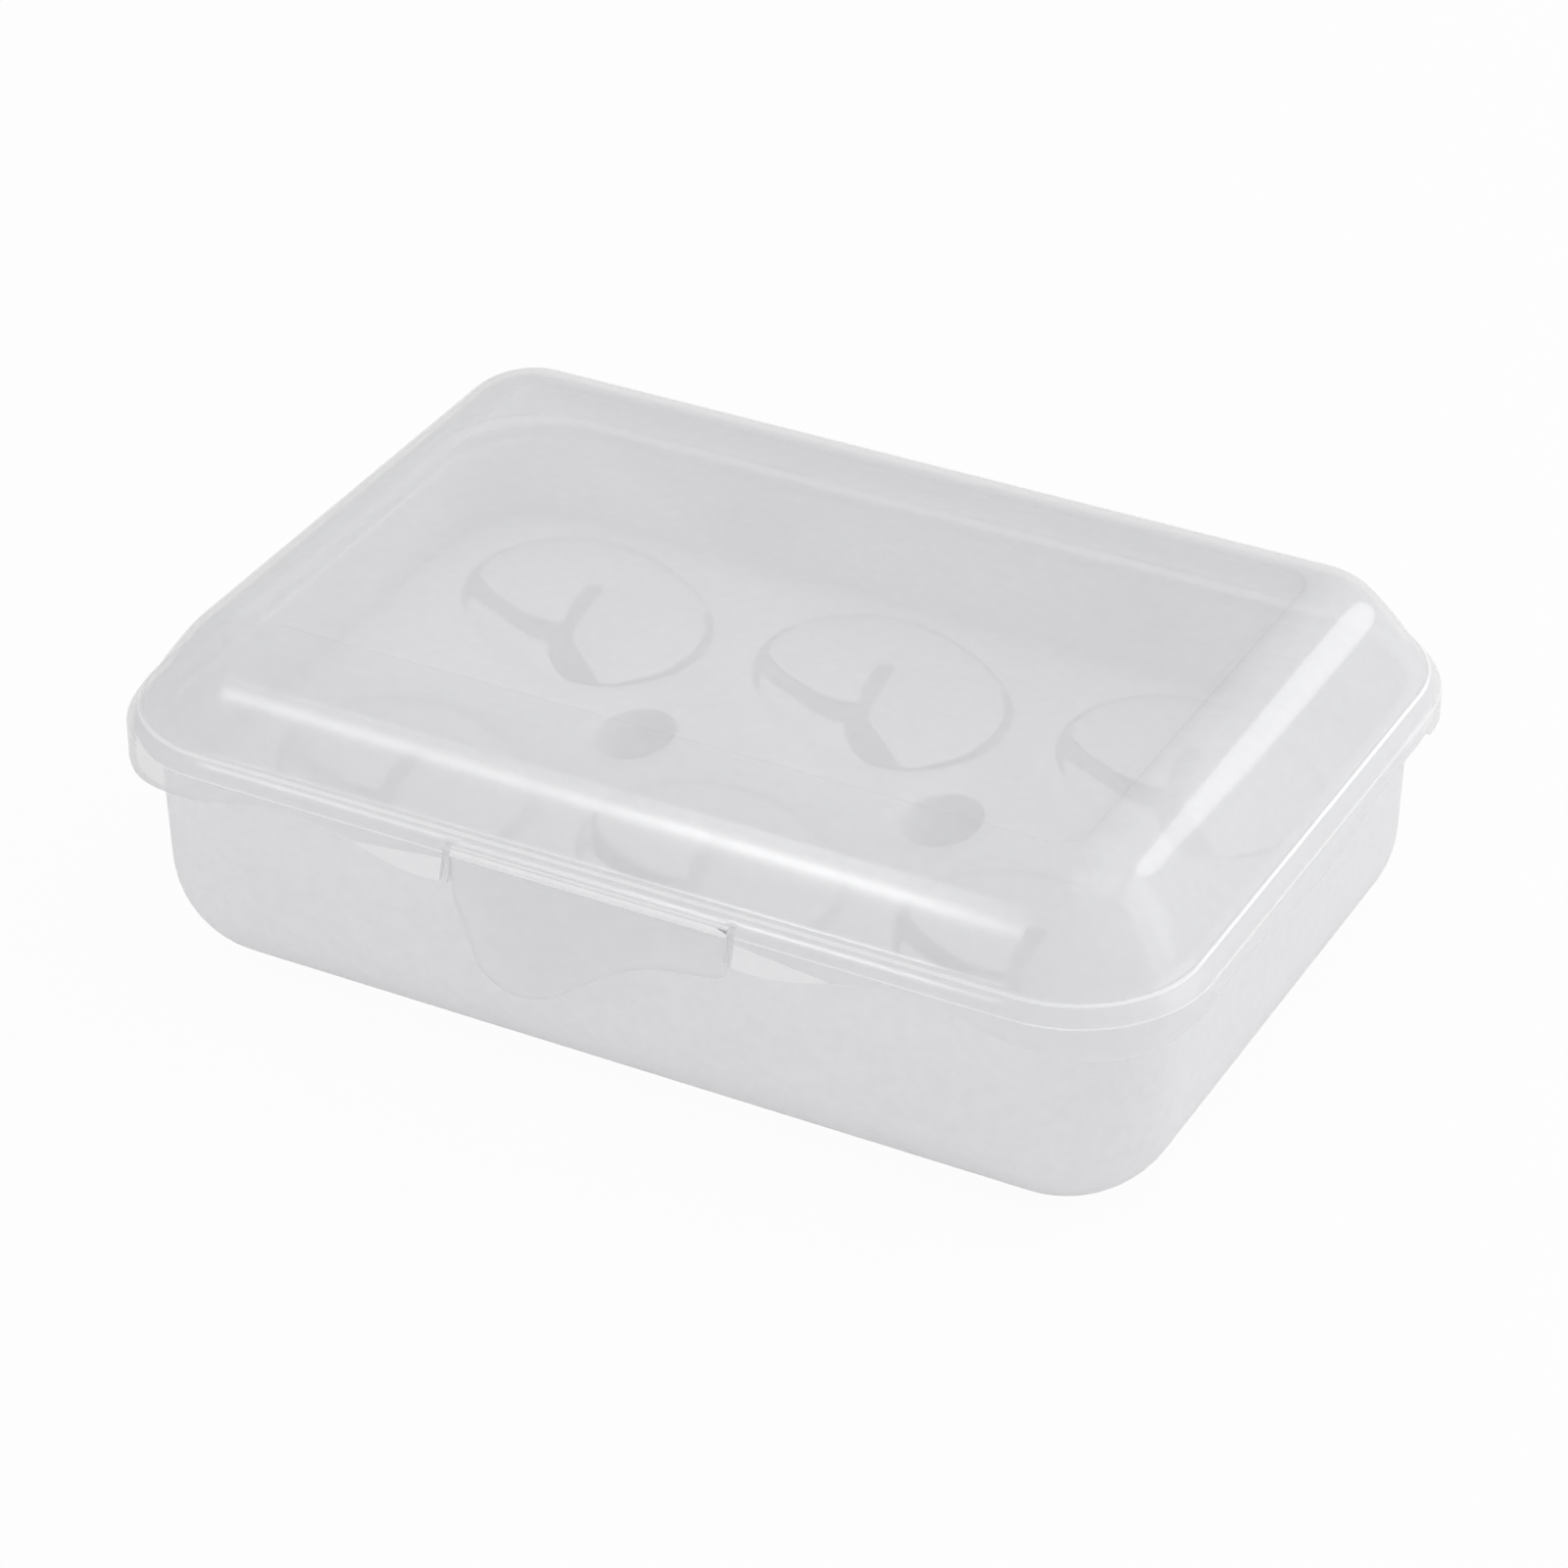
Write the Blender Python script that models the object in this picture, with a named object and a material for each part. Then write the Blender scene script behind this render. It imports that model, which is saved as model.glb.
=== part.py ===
"""Egg storage box: tub, domed lid with a front clasp, and egg tray with flexible petals. Metres, +Z up."""

import math

import bmesh
import bpy
from mathutils import Matrix, Vector

# Lid outline and heights, measured from the surface that the box stands on
LID_WIDTH = 0.200
LID_DEPTH = 0.1385
LID_CORNER = 0.0239
LID_TOP_Z = 0.066
LID_WALL = 0.0012
LEDGE_Z = 0.04945
RIM_EDGE_Z = 0.04615
RIM_BAND_INSET = 0.0023
RIM_BAND_ROUND = 0.0003
LEDGE_INSET = 0.0006
DOME_TOP_INSET = 0.0144
SHOULDER_RADIUS = 0.0134
PANEL_END_INSET = 0.0238
PANEL_SIDE_INSET = 0.02225
PANEL_CORNER = 0.0050
PANEL_SUNK = 0.0006
PANEL_STEP = 0.0008

# Wavy lower edge of the skirt: place along a straight side, and drop below the rim edge
SKIRT_DROP = 0.0062
LONG_EDGE_SHARES = (
    (0.0, 0.50), (0.197, 0.58), (0.359, 0.79), (0.443, 0.83), (0.512, 0.70), (0.591, 0.46),
    (0.670, 0.31), (0.769, 0.27), (0.848, 0.33), (0.926, 0.52), (1.0, 0.70),
)
SHORT_EDGE_SHARES = (
    (0.0, 0.96), (0.176, 0.91), (0.331, 0.73), (0.463, 0.60), (0.66, 0.51), (0.882, 0.51),
    (0.96, 0.46), (1.0, 0.69),
)

# Tub
TUB_SETBACK = 0.0046
TUB_CORNER = 0.0210
TUB_DRAFT = 0.0008
TUB_WALL = 0.0013
TUB_FLOOR_RADIUS = 0.0192
TUB_FLOOR_CORNER = 0.0010
FLANGE_GAP = 0.0005
FLANGE_THICKNESS = 0.0012
SEAT_GAP = 0.00035
FLANGE_LIP_Z = 0.0446
FLANGE_ROOT_Z = 0.0465
MOUTH_REBATE = 0.0004
MOUTH_REBATE_DEPTH = 0.0034

# Front clasp: outline as shares of its half width and of its length below the hinge line
CLASP_HALF_WIDTH = 0.0257
CLASP_LENGTH = 0.0242
CLASP_SLOT = 0.0015
CLASP_SLOT_TOP_Z = 0.0478
CLASP_HINGE_Z = 0.04675
CLASP_HINGE_GAP = 0.0004
CLASP_LIP_WIDTH = 0.0018
CLASP_LIP_FLARE = 0.0009
CLASP_LIP_START_SHARE = 0.65
CLASP_BEAD = 0.00025
CLASP_BEAD_HEIGHT = 0.0012
CLASP_BEAD_HALF_WIDTH = 0.018
CLASP_BEAD_DROP = 0.0010
CLASP_OUTLINE_SHARES = (
    (-1.0, 0.20), (-0.975, 0.40), (-0.88, 0.66), (-0.80, 0.85), (-0.66, 0.963), (-0.50, 1.0),
    (-0.29, 0.94), (-0.08, 0.79), (0.12, 0.645), (0.27, 0.545), (0.43, 0.48), (0.62, 0.435),
    (0.86, 0.395), (0.96, 0.36), (1.0, 0.28),
)

# Rear hinge: two pins, each between two ears of the tub and inside one hook of the lid
HINGE_REACH = 0.00135
HINGE_Y = LID_DEPTH / 2 + HINGE_REACH
HINGE_Z = 0.0384
HINGE_X = 0.038
PIN_RADIUS = 0.0014
HOOK_BORE_GAP = 0.0003
HOOK_WALL = 0.0013
HOOK_WIDTH = 0.009
HOOK_MOUTH_DEG = 100.0
HOOK_MOUTH_CENTRE_DEG = 245.0
HOOK_SIDE_GAP = 0.0005
EAR_THICKNESS = 0.002
EAR_RADIUS = 0.0022

# Egg tray
TRAY_TOP_Z = 0.0297
TRAY_PLATE = 0.0012
TRAY_EDGE_DEPTH = 0.0025
TRAY_EDGE_ROUND = 0.0004
TRAY_END_GAP = 0.0006
TRAY_SIDE_GAP = 0.0015
CUP_COLUMNS = 3
CUP_ROWS = 2
CUP_END_MARGIN = 0.0100
CUP_SIDE_MARGIN = 0.00625
CUP_PITCH_X = (LID_WIDTH - 2 * CUP_END_MARGIN) / CUP_COLUMNS
CUP_PITCH_Y = (LID_DEPTH - 2 * CUP_SIDE_MARGIN) / CUP_ROWS
LEG_HALF_X = 0.008
LEG_HALF_Y = 0.010
LEG_TAPER = 0.0008
LEG_WALL = 0.0012
LEG_FLOOR_GAP = 0.0003

# Cup mouth, an oval that leans, closed by three petals round a Y-shaped slot
CUP_RIB_HALF = 0.0060
MOUTH_RADIUS = min(CUP_PITCH_X, CUP_PITCH_Y) / 2 - CUP_RIB_HALF
MOUTH_OVAL_SHARE = 0.15
MOUTH_LEAN_DEG = -33.0
MOUTH_SHIFT_X = 0.0016
MOUTH_SHIFT_Y = 0.0012
PETAL_THICKNESS = 0.0009
PETAL_GAP = 0.0004
PETAL_ROOTS_DEG = {"left": 131.0, "right": 54.0, "front": 232.0}

# Stretch of the mouth that each petal follows, then its free edge, anticlockwise, from the mouth's middle
PETAL_ARCS_DEG = {"left": (101.0, 150.0), "front": (207.0, 299.0), "right": (28.0, 99.5)}
LEFT_EDGE_SHARES = (
    (-1.0, 0.52), (-1.04, 0.40), (-1.045, 0.26), (-1.0, 0.11), (-0.95, 0.06), (-0.79, -0.06), (-0.57, -0.16),
    (-0.33, -0.24), (-0.10, -0.21), (-0.16, 0.0), (-0.20, 0.32), (-0.19, 0.35), (-0.14, 0.37),
)
FRONT_EDGE_SHARES = (
    (0.53, -0.92), (0.37, -0.93), (0.20, -0.83), (0.06, -0.68), (-0.04, -0.53), (-0.07, -0.51),
    (-0.24, -0.50), (-0.56, -0.36), (-0.78, -0.26), (-0.89, -0.20), (-0.87, -0.30), (-0.82, -0.40),
)
RIGHT_EDGE_SHARES = (
    (-0.12, 0.37), (-0.08, 0.365), (-0.06, 0.34), (-0.02, 0.06), (0.07, -0.34), (0.22, -0.51),
    (0.41, -0.68), (0.61, -0.85), (0.78, -0.71), (0.92, -0.50), (0.97, -0.27), (0.98, -0.06),
    (0.92, 0.18), (0.81, 0.35),
)

# Smoothness of round stretches
LID_CORNER_STEPS = 8
TUB_CORNER_STEPS = 7
FILLET_STEPS = 5
SHOULDER_STEPS = 5
OVAL_STEPS = 24
MOUTH_STEPS = 40
PIN_STEPS = 16
CLASP_CURVE_STEPS = 3
PETAL_CURVE_STEPS = 2
PETAL_ARC_STEPS = 9
CUT_OVERRUN = 0.002

POLYPROPYLENE = (0.70, 0.70, 0.71, 1.0)


def clear_scene():
    for item in list(bpy.data.objects):
        bpy.data.objects.remove(item, do_unlink=True)


def plastic(name, colour, roughness):
    material = bpy.data.materials.new(name)
    material.use_nodes = True
    shader = material.node_tree.nodes["Principled BSDF"]
    shader.inputs["Base Color"].default_value = colour
    shader.inputs["Roughness"].default_value = roughness
    shader.inputs["Metallic"].default_value = 0.0
    return material


def ring(half_x, half_y, radius, z, corner_steps, long_shares=(), short_shares=()):
    """Points of a rounded rectangle, from the +X side round by +Y, with stations on its straight sides."""
    core_x = half_x - radius
    core_y = half_y - radius
    points = []
    for quarter, (side_x, side_y) in enumerate(((1, 1), (-1, 1), (-1, -1), (1, -1))):
        for step in range(corner_steps + 1):
            angle = (quarter + step / corner_steps) * math.pi / 2
            x = side_x * core_x + radius * math.cos(angle)
            y = side_y * core_y + radius * math.sin(angle)
            points.append(Vector((x, y, z)))
        if quarter in (0, 2):
            points += [Vector((side_x * core_x * share, side_y * half_y, z)) for share in long_shares]
        else:
            points += [Vector((side_x * half_x, side_y * core_y * share, z)) for share in short_shares]
    return points


def loft(name, rings):
    """One closed body through the rings, with a flat cap on the first and on the last."""
    mesh = bmesh.new()
    rows = [[mesh.verts.new(point) for point in points] for points in rings]
    count = len(rows[0])
    for lower, upper in zip(rows, rows[1:]):
        for here in range(count):
            after = (here + 1) % count
            mesh.faces.new((lower[here], lower[after], upper[after], upper[here]))
    mesh.faces.new(list(reversed(rows[0])))
    mesh.faces.new(rows[-1])
    return finish(name, mesh)


def finish(name, mesh, smooth_deg=35.0):
    """Puts a bmesh into the scene with its faces out and its round stretches shaded smooth."""
    bmesh.ops.recalc_face_normals(mesh, faces=mesh.faces)
    data = bpy.data.meshes.new(name)
    mesh.to_mesh(data)
    mesh.free()
    data.shade_smooth()
    data.set_sharp_from_angle(angle=math.radians(smooth_deg))
    body = bpy.data.objects.new(name, data)
    bpy.context.scene.collection.objects.link(body)
    return body


def prism(name, outline, start, depth):
    """A closed outline of points, carried from start along depth."""
    mesh = bmesh.new()
    near = [mesh.verts.new(point + start) for point in outline]
    far = [mesh.verts.new(point + start + depth) for point in outline]
    count = len(outline)
    for here in range(count):
        after = (here + 1) % count
        mesh.faces.new((near[here], near[after], far[after], far[here]))
    mesh.faces.new(near)
    mesh.faces.new(list(reversed(far)))
    return finish(name, mesh)


def box(name, low, high):
    near, far = Vector((low[0], low[1], 0)), Vector((high[0], high[1], 0))
    outline = [near, Vector((far.x, near.y, 0)), far, Vector((near.x, far.y, 0))]
    return prism(name, outline, Vector((0, 0, low[2])), Vector((0, 0, high[2] - low[2])))


def combine(body, tool, operation):
    """Joins a tool to a body, or cuts it away, with a Boolean that stays on the body."""
    modifier = body.modifiers.new(tool.name, "BOOLEAN")
    modifier.operation = operation
    modifier.solver = "EXACT"
    modifier.object = tool
    tool.hide_render = True
    tool.display_type = "WIRE"


def edge_share(table, share):
    """Height share of the skirt's edge at a place along a straight side, between the table's stations."""
    for (low, low_value), (high, high_value) in zip(table, table[1:]):
        if share <= high:
            return low_value + (high_value - low_value) * (share - low) / (high - low)
    return table[-1][1]


def skirt_edge_z(point):
    """Height of the skirt's wavy lower edge under a point of the lid's outline."""
    core_x = LID_WIDTH / 2 - LID_CORNER
    core_y = LID_DEPTH / 2 - LID_CORNER
    past_x = abs(point.x) - core_x
    past_y = abs(point.y) - core_y
    if past_x > 0 and past_y > 0:
        turn = math.atan2(past_y, past_x) / (math.pi / 2)
        end = SHORT_EDGE_SHARES[-1][1] + (LONG_EDGE_SHARES[-1][1] - SHORT_EDGE_SHARES[-1][1]) * turn
        share = end + (1 - end) * math.sin(math.pi * turn) ** 2
    elif past_x > 0:
        share = edge_share(SHORT_EDGE_SHARES, abs(point.y) / core_y)
    else:
        share = edge_share(LONG_EDGE_SHARES, abs(point.x) / core_x)
    return RIM_EDGE_Z - SKIRT_DROP * share


def lid_ring(inset, z):
    """Outline of the lid at an inset from its edge, with stations at the places of the skirt's tables."""
    def stations(table):
        inner = [share for share, _ in table if 0 < share < 1]
        return list(reversed(inner)) + [0.0] + [-share for share in inner]

    return ring(
        LID_WIDTH / 2 - inset, LID_DEPTH / 2 - inset, LID_CORNER - inset, z,
        LID_CORNER_STEPS, stations(LONG_EDGE_SHARES), stations(SHORT_EDGE_SHARES),
    )


def panel_ring(grow, z):
    """Outline of the sunk top panel, grown by a margin, with the same stations as the lid's rings."""
    points = lid_ring(0, z)
    core_x = LID_WIDTH / 2 - LID_CORNER
    core_y = LID_DEPTH / 2 - LID_CORNER
    radius = PANEL_CORNER + grow
    panel_x = LID_WIDTH / 2 - PANEL_END_INSET - PANEL_CORNER
    panel_y = LID_DEPTH / 2 - PANEL_SIDE_INSET - PANEL_CORNER
    placed = []
    for point in points:
        near_x = max(-1, min(1, point.x / core_x))
        near_y = max(-1, min(1, point.y / core_y))
        out = Vector((point.x - near_x * core_x, point.y - near_y * core_y)) / LID_CORNER
        placed.append(Vector((near_x * panel_x + out.x * radius, near_y * panel_y + out.y * radius, z)))
    return placed


def band_inset(z, offset):
    """Inset of the sloping rim band at a height, on a surface that lies an offset inside it."""
    lean = math.atan2(RIM_BAND_INSET, LEDGE_Z - RIM_EDGE_Z)
    return (z - RIM_EDGE_Z) * math.tan(lean) + offset / math.cos(lean)


def band_height(inset, offset):
    """Height at which that surface has an inset."""
    lean = math.atan2(RIM_BAND_INSET, LEDGE_Z - RIM_EDGE_Z)
    return RIM_EDGE_Z + (inset - offset / math.cos(lean)) / math.tan(lean)


def dome_rings(offset):
    """Rings of the leaning wall and the shoulder, from the foot up, at an offset inside the dome."""
    foot = RIM_BAND_INSET + LEDGE_INSET
    lean = math.atan2(DOME_TOP_INSET - foot, LID_TOP_Z - LEDGE_Z)
    foot_inset = foot + offset * (1 - math.sin(lean)) / math.cos(lean)
    rings = [lid_ring(foot_inset, LEDGE_Z - offset)]
    arc_turn = math.pi / 2 - lean
    centre_inset = DOME_TOP_INSET + SHOULDER_RADIUS * math.tan(arc_turn / 2)
    centre_z = LID_TOP_Z - SHOULDER_RADIUS
    for step in range(SHOULDER_STEPS + 1):
        angle = arc_turn * (1 - step / SHOULDER_STEPS)
        reach = SHOULDER_RADIUS - offset
        rings.append(lid_ring(centre_inset - reach * math.sin(angle), centre_z + reach * math.cos(angle)))
    return rings


def make_lid():
    """Skirt, rim band, ledge, leaning wall, shoulder and sunk panel, as one shell of even wall."""
    outer_edge = lid_ring(0, RIM_EDGE_Z)
    inner_edge = lid_ring(LID_WALL, RIM_EDGE_Z)
    for outer, inner in zip(outer_edge, inner_edge):
        outer.z = inner.z = skirt_edge_z(outer)
    outside = [
        outer_edge,
        lid_ring(0, RIM_EDGE_Z - RIM_BAND_ROUND),
        lid_ring(band_inset(RIM_EDGE_Z + RIM_BAND_ROUND, 0), RIM_EDGE_Z + RIM_BAND_ROUND),
        lid_ring(band_inset(LEDGE_Z - RIM_BAND_ROUND, 0), LEDGE_Z - RIM_BAND_ROUND),
        lid_ring(RIM_BAND_INSET + RIM_BAND_ROUND, LEDGE_Z),
    ]
    outside += dome_rings(0)
    outside += [panel_ring(PANEL_STEP, LID_TOP_Z), panel_ring(0, LID_TOP_Z - PANEL_SUNK)]
    ceiling_z = LID_TOP_Z - LID_WALL
    ledge_under_z = LEDGE_Z - LID_WALL
    inside = [panel_ring(0, ceiling_z - PANEL_SUNK), panel_ring(PANEL_STEP, ceiling_z)]
    inside += list(reversed(dome_rings(LID_WALL)))
    inside += [
        lid_ring(band_inset(ledge_under_z, LID_WALL), ledge_under_z),
        lid_ring(LID_WALL, band_height(LID_WALL, LID_WALL)),
        inner_edge,
    ]
    lid = shell("lid_shell", outside, inside)
    front = -LID_DEPTH / 2
    half = CLASP_HALF_WIDTH
    low = RIM_EDGE_Z - SKIRT_DROP - CUT_OVERRUN
    window_top = (half, front + CUT_OVERRUN, CLASP_HINGE_Z + CLASP_HINGE_GAP / 2)
    cuts = [box("cut_clasp", (-half, front - CUT_OVERRUN, low), window_top)]
    for side in (-1, 1):
        ends = sorted((side * half, side * (half + CLASP_SLOT)))
        low_corner = (ends[0], front - CUT_OVERRUN, low)
        high_corner = (ends[1], front + CUT_OVERRUN, CLASP_SLOT_TOP_Z)
        cuts.append(box(f"cut_slot_{side}", low_corner, high_corner))
    for cut in cuts:
        combine(lid, cut, "DIFFERENCE")
    for side in (-1, 1):
        centre = Vector((side * HINGE_X - HOOK_WIDTH / 2, HINGE_Y, HINGE_Z))
        width = Vector((HOOK_WIDTH, 0, 0))
        combine(lid, prism(f"hook_{side}", hook_outline(), centre, width), "UNION")
        combine(lid, prism(f"arm_{side}", arm_outline(), centre, width), "UNION")
    return lid


def shell(name, outside, inside):
    """One closed shell: an outside and an inside that meet at the edge, each capped at its far end."""
    mesh = bmesh.new()
    rows = [[mesh.verts.new(point) for point in points] for points in outside]
    lining = [[mesh.verts.new(point) for point in points] for points in inside]
    count = len(rows[0])
    for group in (rows, lining, [lining[-1], rows[0]]):
        for lower, upper in zip(group, group[1:]):
            for here in range(count):
                after = (here + 1) % count
                mesh.faces.new((lower[here], lower[after], upper[after], upper[here]))
    mesh.faces.new(rows[-1])
    mesh.faces.new(list(reversed(lining[0])))
    return finish(name, mesh)


def hook_outline():
    """Open hook round the pin, in the plane across the hinge line."""
    inner = PIN_RADIUS + HOOK_BORE_GAP
    outer = inner + HOOK_WALL
    start = math.radians(HOOK_MOUTH_CENTRE_DEG + HOOK_MOUTH_DEG / 2)
    sweep = math.radians(360 - HOOK_MOUTH_DEG)
    angles = [start + sweep * step / PIN_STEPS for step in range(PIN_STEPS + 1)]
    points = [Vector((0, outer * math.cos(a), outer * math.sin(a))) for a in angles]
    return points + [Vector((0, inner * math.cos(a), inner * math.sin(a))) for a in reversed(angles)]


def arm_outline():
    """Rib that carries the hook from the outside of the skirt, from the same plane as the hook."""
    inner = PIN_RADIUS + HOOK_BORE_GAP
    sink = LID_DEPTH / 2 - LID_WALL / 2 - HINGE_Y
    top = RIM_EDGE_Z - RIM_BAND_ROUND - HINGE_Z
    crown = inner + HOOK_WALL / 4
    return [
        Vector((0, sink, crown)), Vector((0, inner, crown)), Vector((0, inner, inner + HOOK_WALL)),
        Vector((0, sink + LID_WALL, top)), Vector((0, sink, top)),
    ]


def tub_ring(inset, z, corner=None):
    """Outline of the tub at an inset from its wall's outer face at the rim."""
    half_x = LID_WIDTH / 2 - TUB_SETBACK - inset
    half_y = LID_DEPTH / 2 - TUB_SETBACK - inset
    return ring(half_x, half_y, TUB_CORNER - inset if corner is None else corner, z, TUB_CORNER_STEPS)


def flange_ring(inset, z):
    """Outline of the tub's flange at an inset from the lid's outer edge."""
    return ring(LID_WIDTH / 2 - inset, LID_DEPTH / 2 - inset, LID_CORNER - inset, z, TUB_CORNER_STEPS)


def floor_rings(wall):
    """Rings of the bottom radius, from the floor up to the wall, on a surface a wall inside the tub."""
    reach = TUB_FLOOR_RADIUS - wall
    rings = []
    for step in range(FILLET_STEPS + 1):
        angle = math.pi / 2 * step / FILLET_STEPS
        inset = TUB_DRAFT + TUB_FLOOR_RADIUS - reach * math.sin(angle)
        spread = (TUB_FLOOR_RADIUS - inset + TUB_DRAFT) / TUB_FLOOR_RADIUS
        corner = TUB_FLOOR_CORNER + (TUB_CORNER - TUB_DRAFT - TUB_FLOOR_CORNER) * spread
        rings.append(tub_ring(inset, TUB_FLOOR_RADIUS - reach * math.cos(angle), corner))
    return rings


def wall_inset(z):
    """Inset of the tub wall's outer face at a height, from its draft."""
    return TUB_DRAFT * (FLANGE_ROOT_Z - z) / (FLANGE_ROOT_Z - TUB_FLOOR_RADIUS)


def make_tub():
    """Floor, bottom radius, drafted wall and down-turned flange with a rebated mouth, as one shell."""
    lip = LID_WALL + FLANGE_GAP
    flange_top_z = LEDGE_Z - LID_WALL - SEAT_GAP
    offset = LID_WALL + FLANGE_GAP * math.cos(math.atan2(RIM_BAND_INSET, LEDGE_Z - RIM_EDGE_Z))
    outside = floor_rings(0)
    outside += [
        tub_ring(0, FLANGE_ROOT_Z),
        flange_ring(lip + FLANGE_THICKNESS, FLANGE_LIP_Z),
        flange_ring(lip, FLANGE_LIP_Z),
        flange_ring(lip, band_height(lip, offset)),
        flange_ring(band_inset(flange_top_z, offset), flange_top_z),
        tub_ring(TUB_WALL - MOUTH_REBATE, flange_top_z),
        tub_ring(TUB_WALL - MOUTH_REBATE, flange_top_z - MOUTH_REBATE_DEPTH + MOUTH_REBATE),
        tub_ring(TUB_WALL, flange_top_z - MOUTH_REBATE_DEPTH),
    ]
    outside += list(reversed(floor_rings(TUB_WALL)))
    tub = loft("base_tub", outside)
    wall_y = LID_DEPTH / 2 - TUB_SETBACK - wall_inset(HINGE_Z) - TUB_WALL / 2 - HINGE_Y
    arc = [math.pi * (step / PIN_STEPS - 0.5) for step in range(PIN_STEPS + 1)]
    ear = [Vector((0, EAR_RADIUS * math.cos(a), EAR_RADIUS * math.sin(a))) for a in arc]
    ear += [Vector((0, wall_y, EAR_RADIUS)), Vector((0, wall_y, -EAR_RADIUS))]
    turn = [2 * math.pi * step / PIN_STEPS for step in range(PIN_STEPS)]
    pin = [Vector((0, PIN_RADIUS * math.cos(a), PIN_RADIUS * math.sin(a))) for a in turn]
    reach = HOOK_WIDTH / 2 + HOOK_SIDE_GAP
    thickness = Vector((EAR_THICKNESS, 0, 0))
    for side in (-1, 1):
        for place, edge in (("inner", -reach - EAR_THICKNESS), ("outer", reach)):
            start = Vector((side * HINGE_X + edge, HINGE_Y, HINGE_Z))
            combine(tub, prism(f"ear_{place}_{side}", ear, start, thickness), "UNION")
        start = Vector((side * HINGE_X - reach - EAR_THICKNESS / 2, HINGE_Y, HINGE_Z))
        span = Vector((2 * reach + EAR_THICKNESS, 0, 0))
        combine(tub, prism(f"pin_{side}", pin, start, span), "UNION")
    return tub


def curve_through(points, steps):
    """Smooth open curve through the points, with steps between each two."""
    ends = [points[0] * 2 - points[1]] + points + [points[-1] * 2 - points[-2]]
    curve = []
    for a, b, c, d in zip(ends, ends[1:], ends[2:], ends[3:]):
        for step in range(steps):
            t = step / steps
            bend = (a * 2 - b * 5 + c * 4 - d) * t ** 2 + (b * 3 - a - c * 3 + d) * t ** 3
            curve.append((b * 2 + (c - a) * t + bend) / 2)
    return curve + [points[-1]]


def make_clasp(hinge):
    """Lopsided flap under its film hinge, with an outward finger lip and a low bead behind."""
    front = -LID_DEPTH / 2
    top_z = CLASP_HINGE_Z - CLASP_HINGE_GAP / 2
    half = CLASP_HALF_WIDTH
    shares = [Vector((x * half, 0, -z * CLASP_LENGTH)) for x, z in CLASP_OUTLINE_SHARES]
    outline = [Vector((-half, 0, 0))] + curve_through(shares, CLASP_CURVE_STEPS) + [Vector((half, 0, 0))]
    mesh = bmesh.new()
    face = mesh.faces.new([mesh.verts.new(point + Vector((0, front, top_z))) for point in outline])
    grown = bmesh.ops.extrude_face_region(mesh, geom=[face])
    moved = [item for item in grown["geom"] if isinstance(item, bmesh.types.BMVert)]
    bmesh.ops.translate(mesh, verts=moved, vec=Vector((0, LID_WALL, 0)))
    plane = Vector((0, 0, RIM_EDGE_Z))
    everything = list(mesh.verts) + list(mesh.edges) + list(mesh.faces)
    bmesh.ops.bisect_plane(mesh, geom=everything, plane_co=plane, plane_no=Vector((0, 0, 1)))
    for vertex in mesh.verts:
        if vertex.co.z > RIM_EDGE_Z:
            vertex.co.y += band_inset(vertex.co.z, 0)
    faces = [face for face in mesh.faces if face.calc_center_median().z < RIM_EDGE_Z]
    fronts = [face for face in faces if abs(face.calc_center_median().y - front) < LID_WALL / 4]
    bmesh.ops.inset_region(mesh, faces=fronts, thickness=CLASP_LIP_WIDTH, use_even_offset=True)
    lip_top = top_z - CLASP_LIP_START_SHARE * CLASP_LENGTH
    for vertex in mesh.verts:
        on_front = abs(vertex.co.y - front) < LID_WALL / 4
        on_rim = any(abs(edge.other_vert(vertex).co.y - front) > LID_WALL / 2 for edge in vertex.link_edges)
        if on_front and on_rim and vertex.co.x < 0 and vertex.co.z < lip_top:
            depth = min(1, (lip_top - vertex.co.z) / (CLASP_LENGTH / 4))
            side = min(1, -vertex.co.x / (half / 4))
            vertex.co.y -= CLASP_LIP_FLARE * depth * side
    clasp = finish("front_clasp", mesh)
    bead_z = FLANGE_LIP_Z - CLASP_BEAD_DROP
    back = front + LID_WALL
    sunk = back - LID_WALL / 2
    foot_z = bead_z - CLASP_BEAD_HEIGHT
    bead = [
        Vector((0, sunk, bead_z)), Vector((0, back, bead_z)),
        Vector((0, back + CLASP_BEAD, bead_z - CLASP_BEAD_HEIGHT / 3)),
        Vector((0, back, foot_z)), Vector((0, sunk, foot_z)),
    ]
    start = Vector((-CLASP_BEAD_HALF_WIDTH, 0, 0))
    combine(clasp, prism("clasp_bead", bead, start, start * -2), "UNION")
    place_at(clasp, hinge)
    return clasp


def place_at(body, point):
    """Moves a body's origin to a point and leaves its shape where it is."""
    body.data.transform(Matrix.Translation(-point))
    body.location = point


def mouth_reach(angle):
    """Distance from the middle of a cup mouth to its edge, in a direction."""
    return MOUTH_RADIUS * (1 + MOUTH_OVAL_SHARE * math.cos(2 * (angle - math.radians(MOUTH_LEAN_DEG))))


def mouth_point(angle, inset=0.0):
    reach = mouth_reach(angle) - inset
    return Vector((MOUTH_SHIFT_X + reach * math.cos(angle), MOUTH_SHIFT_Y + reach * math.sin(angle), 0))


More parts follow.
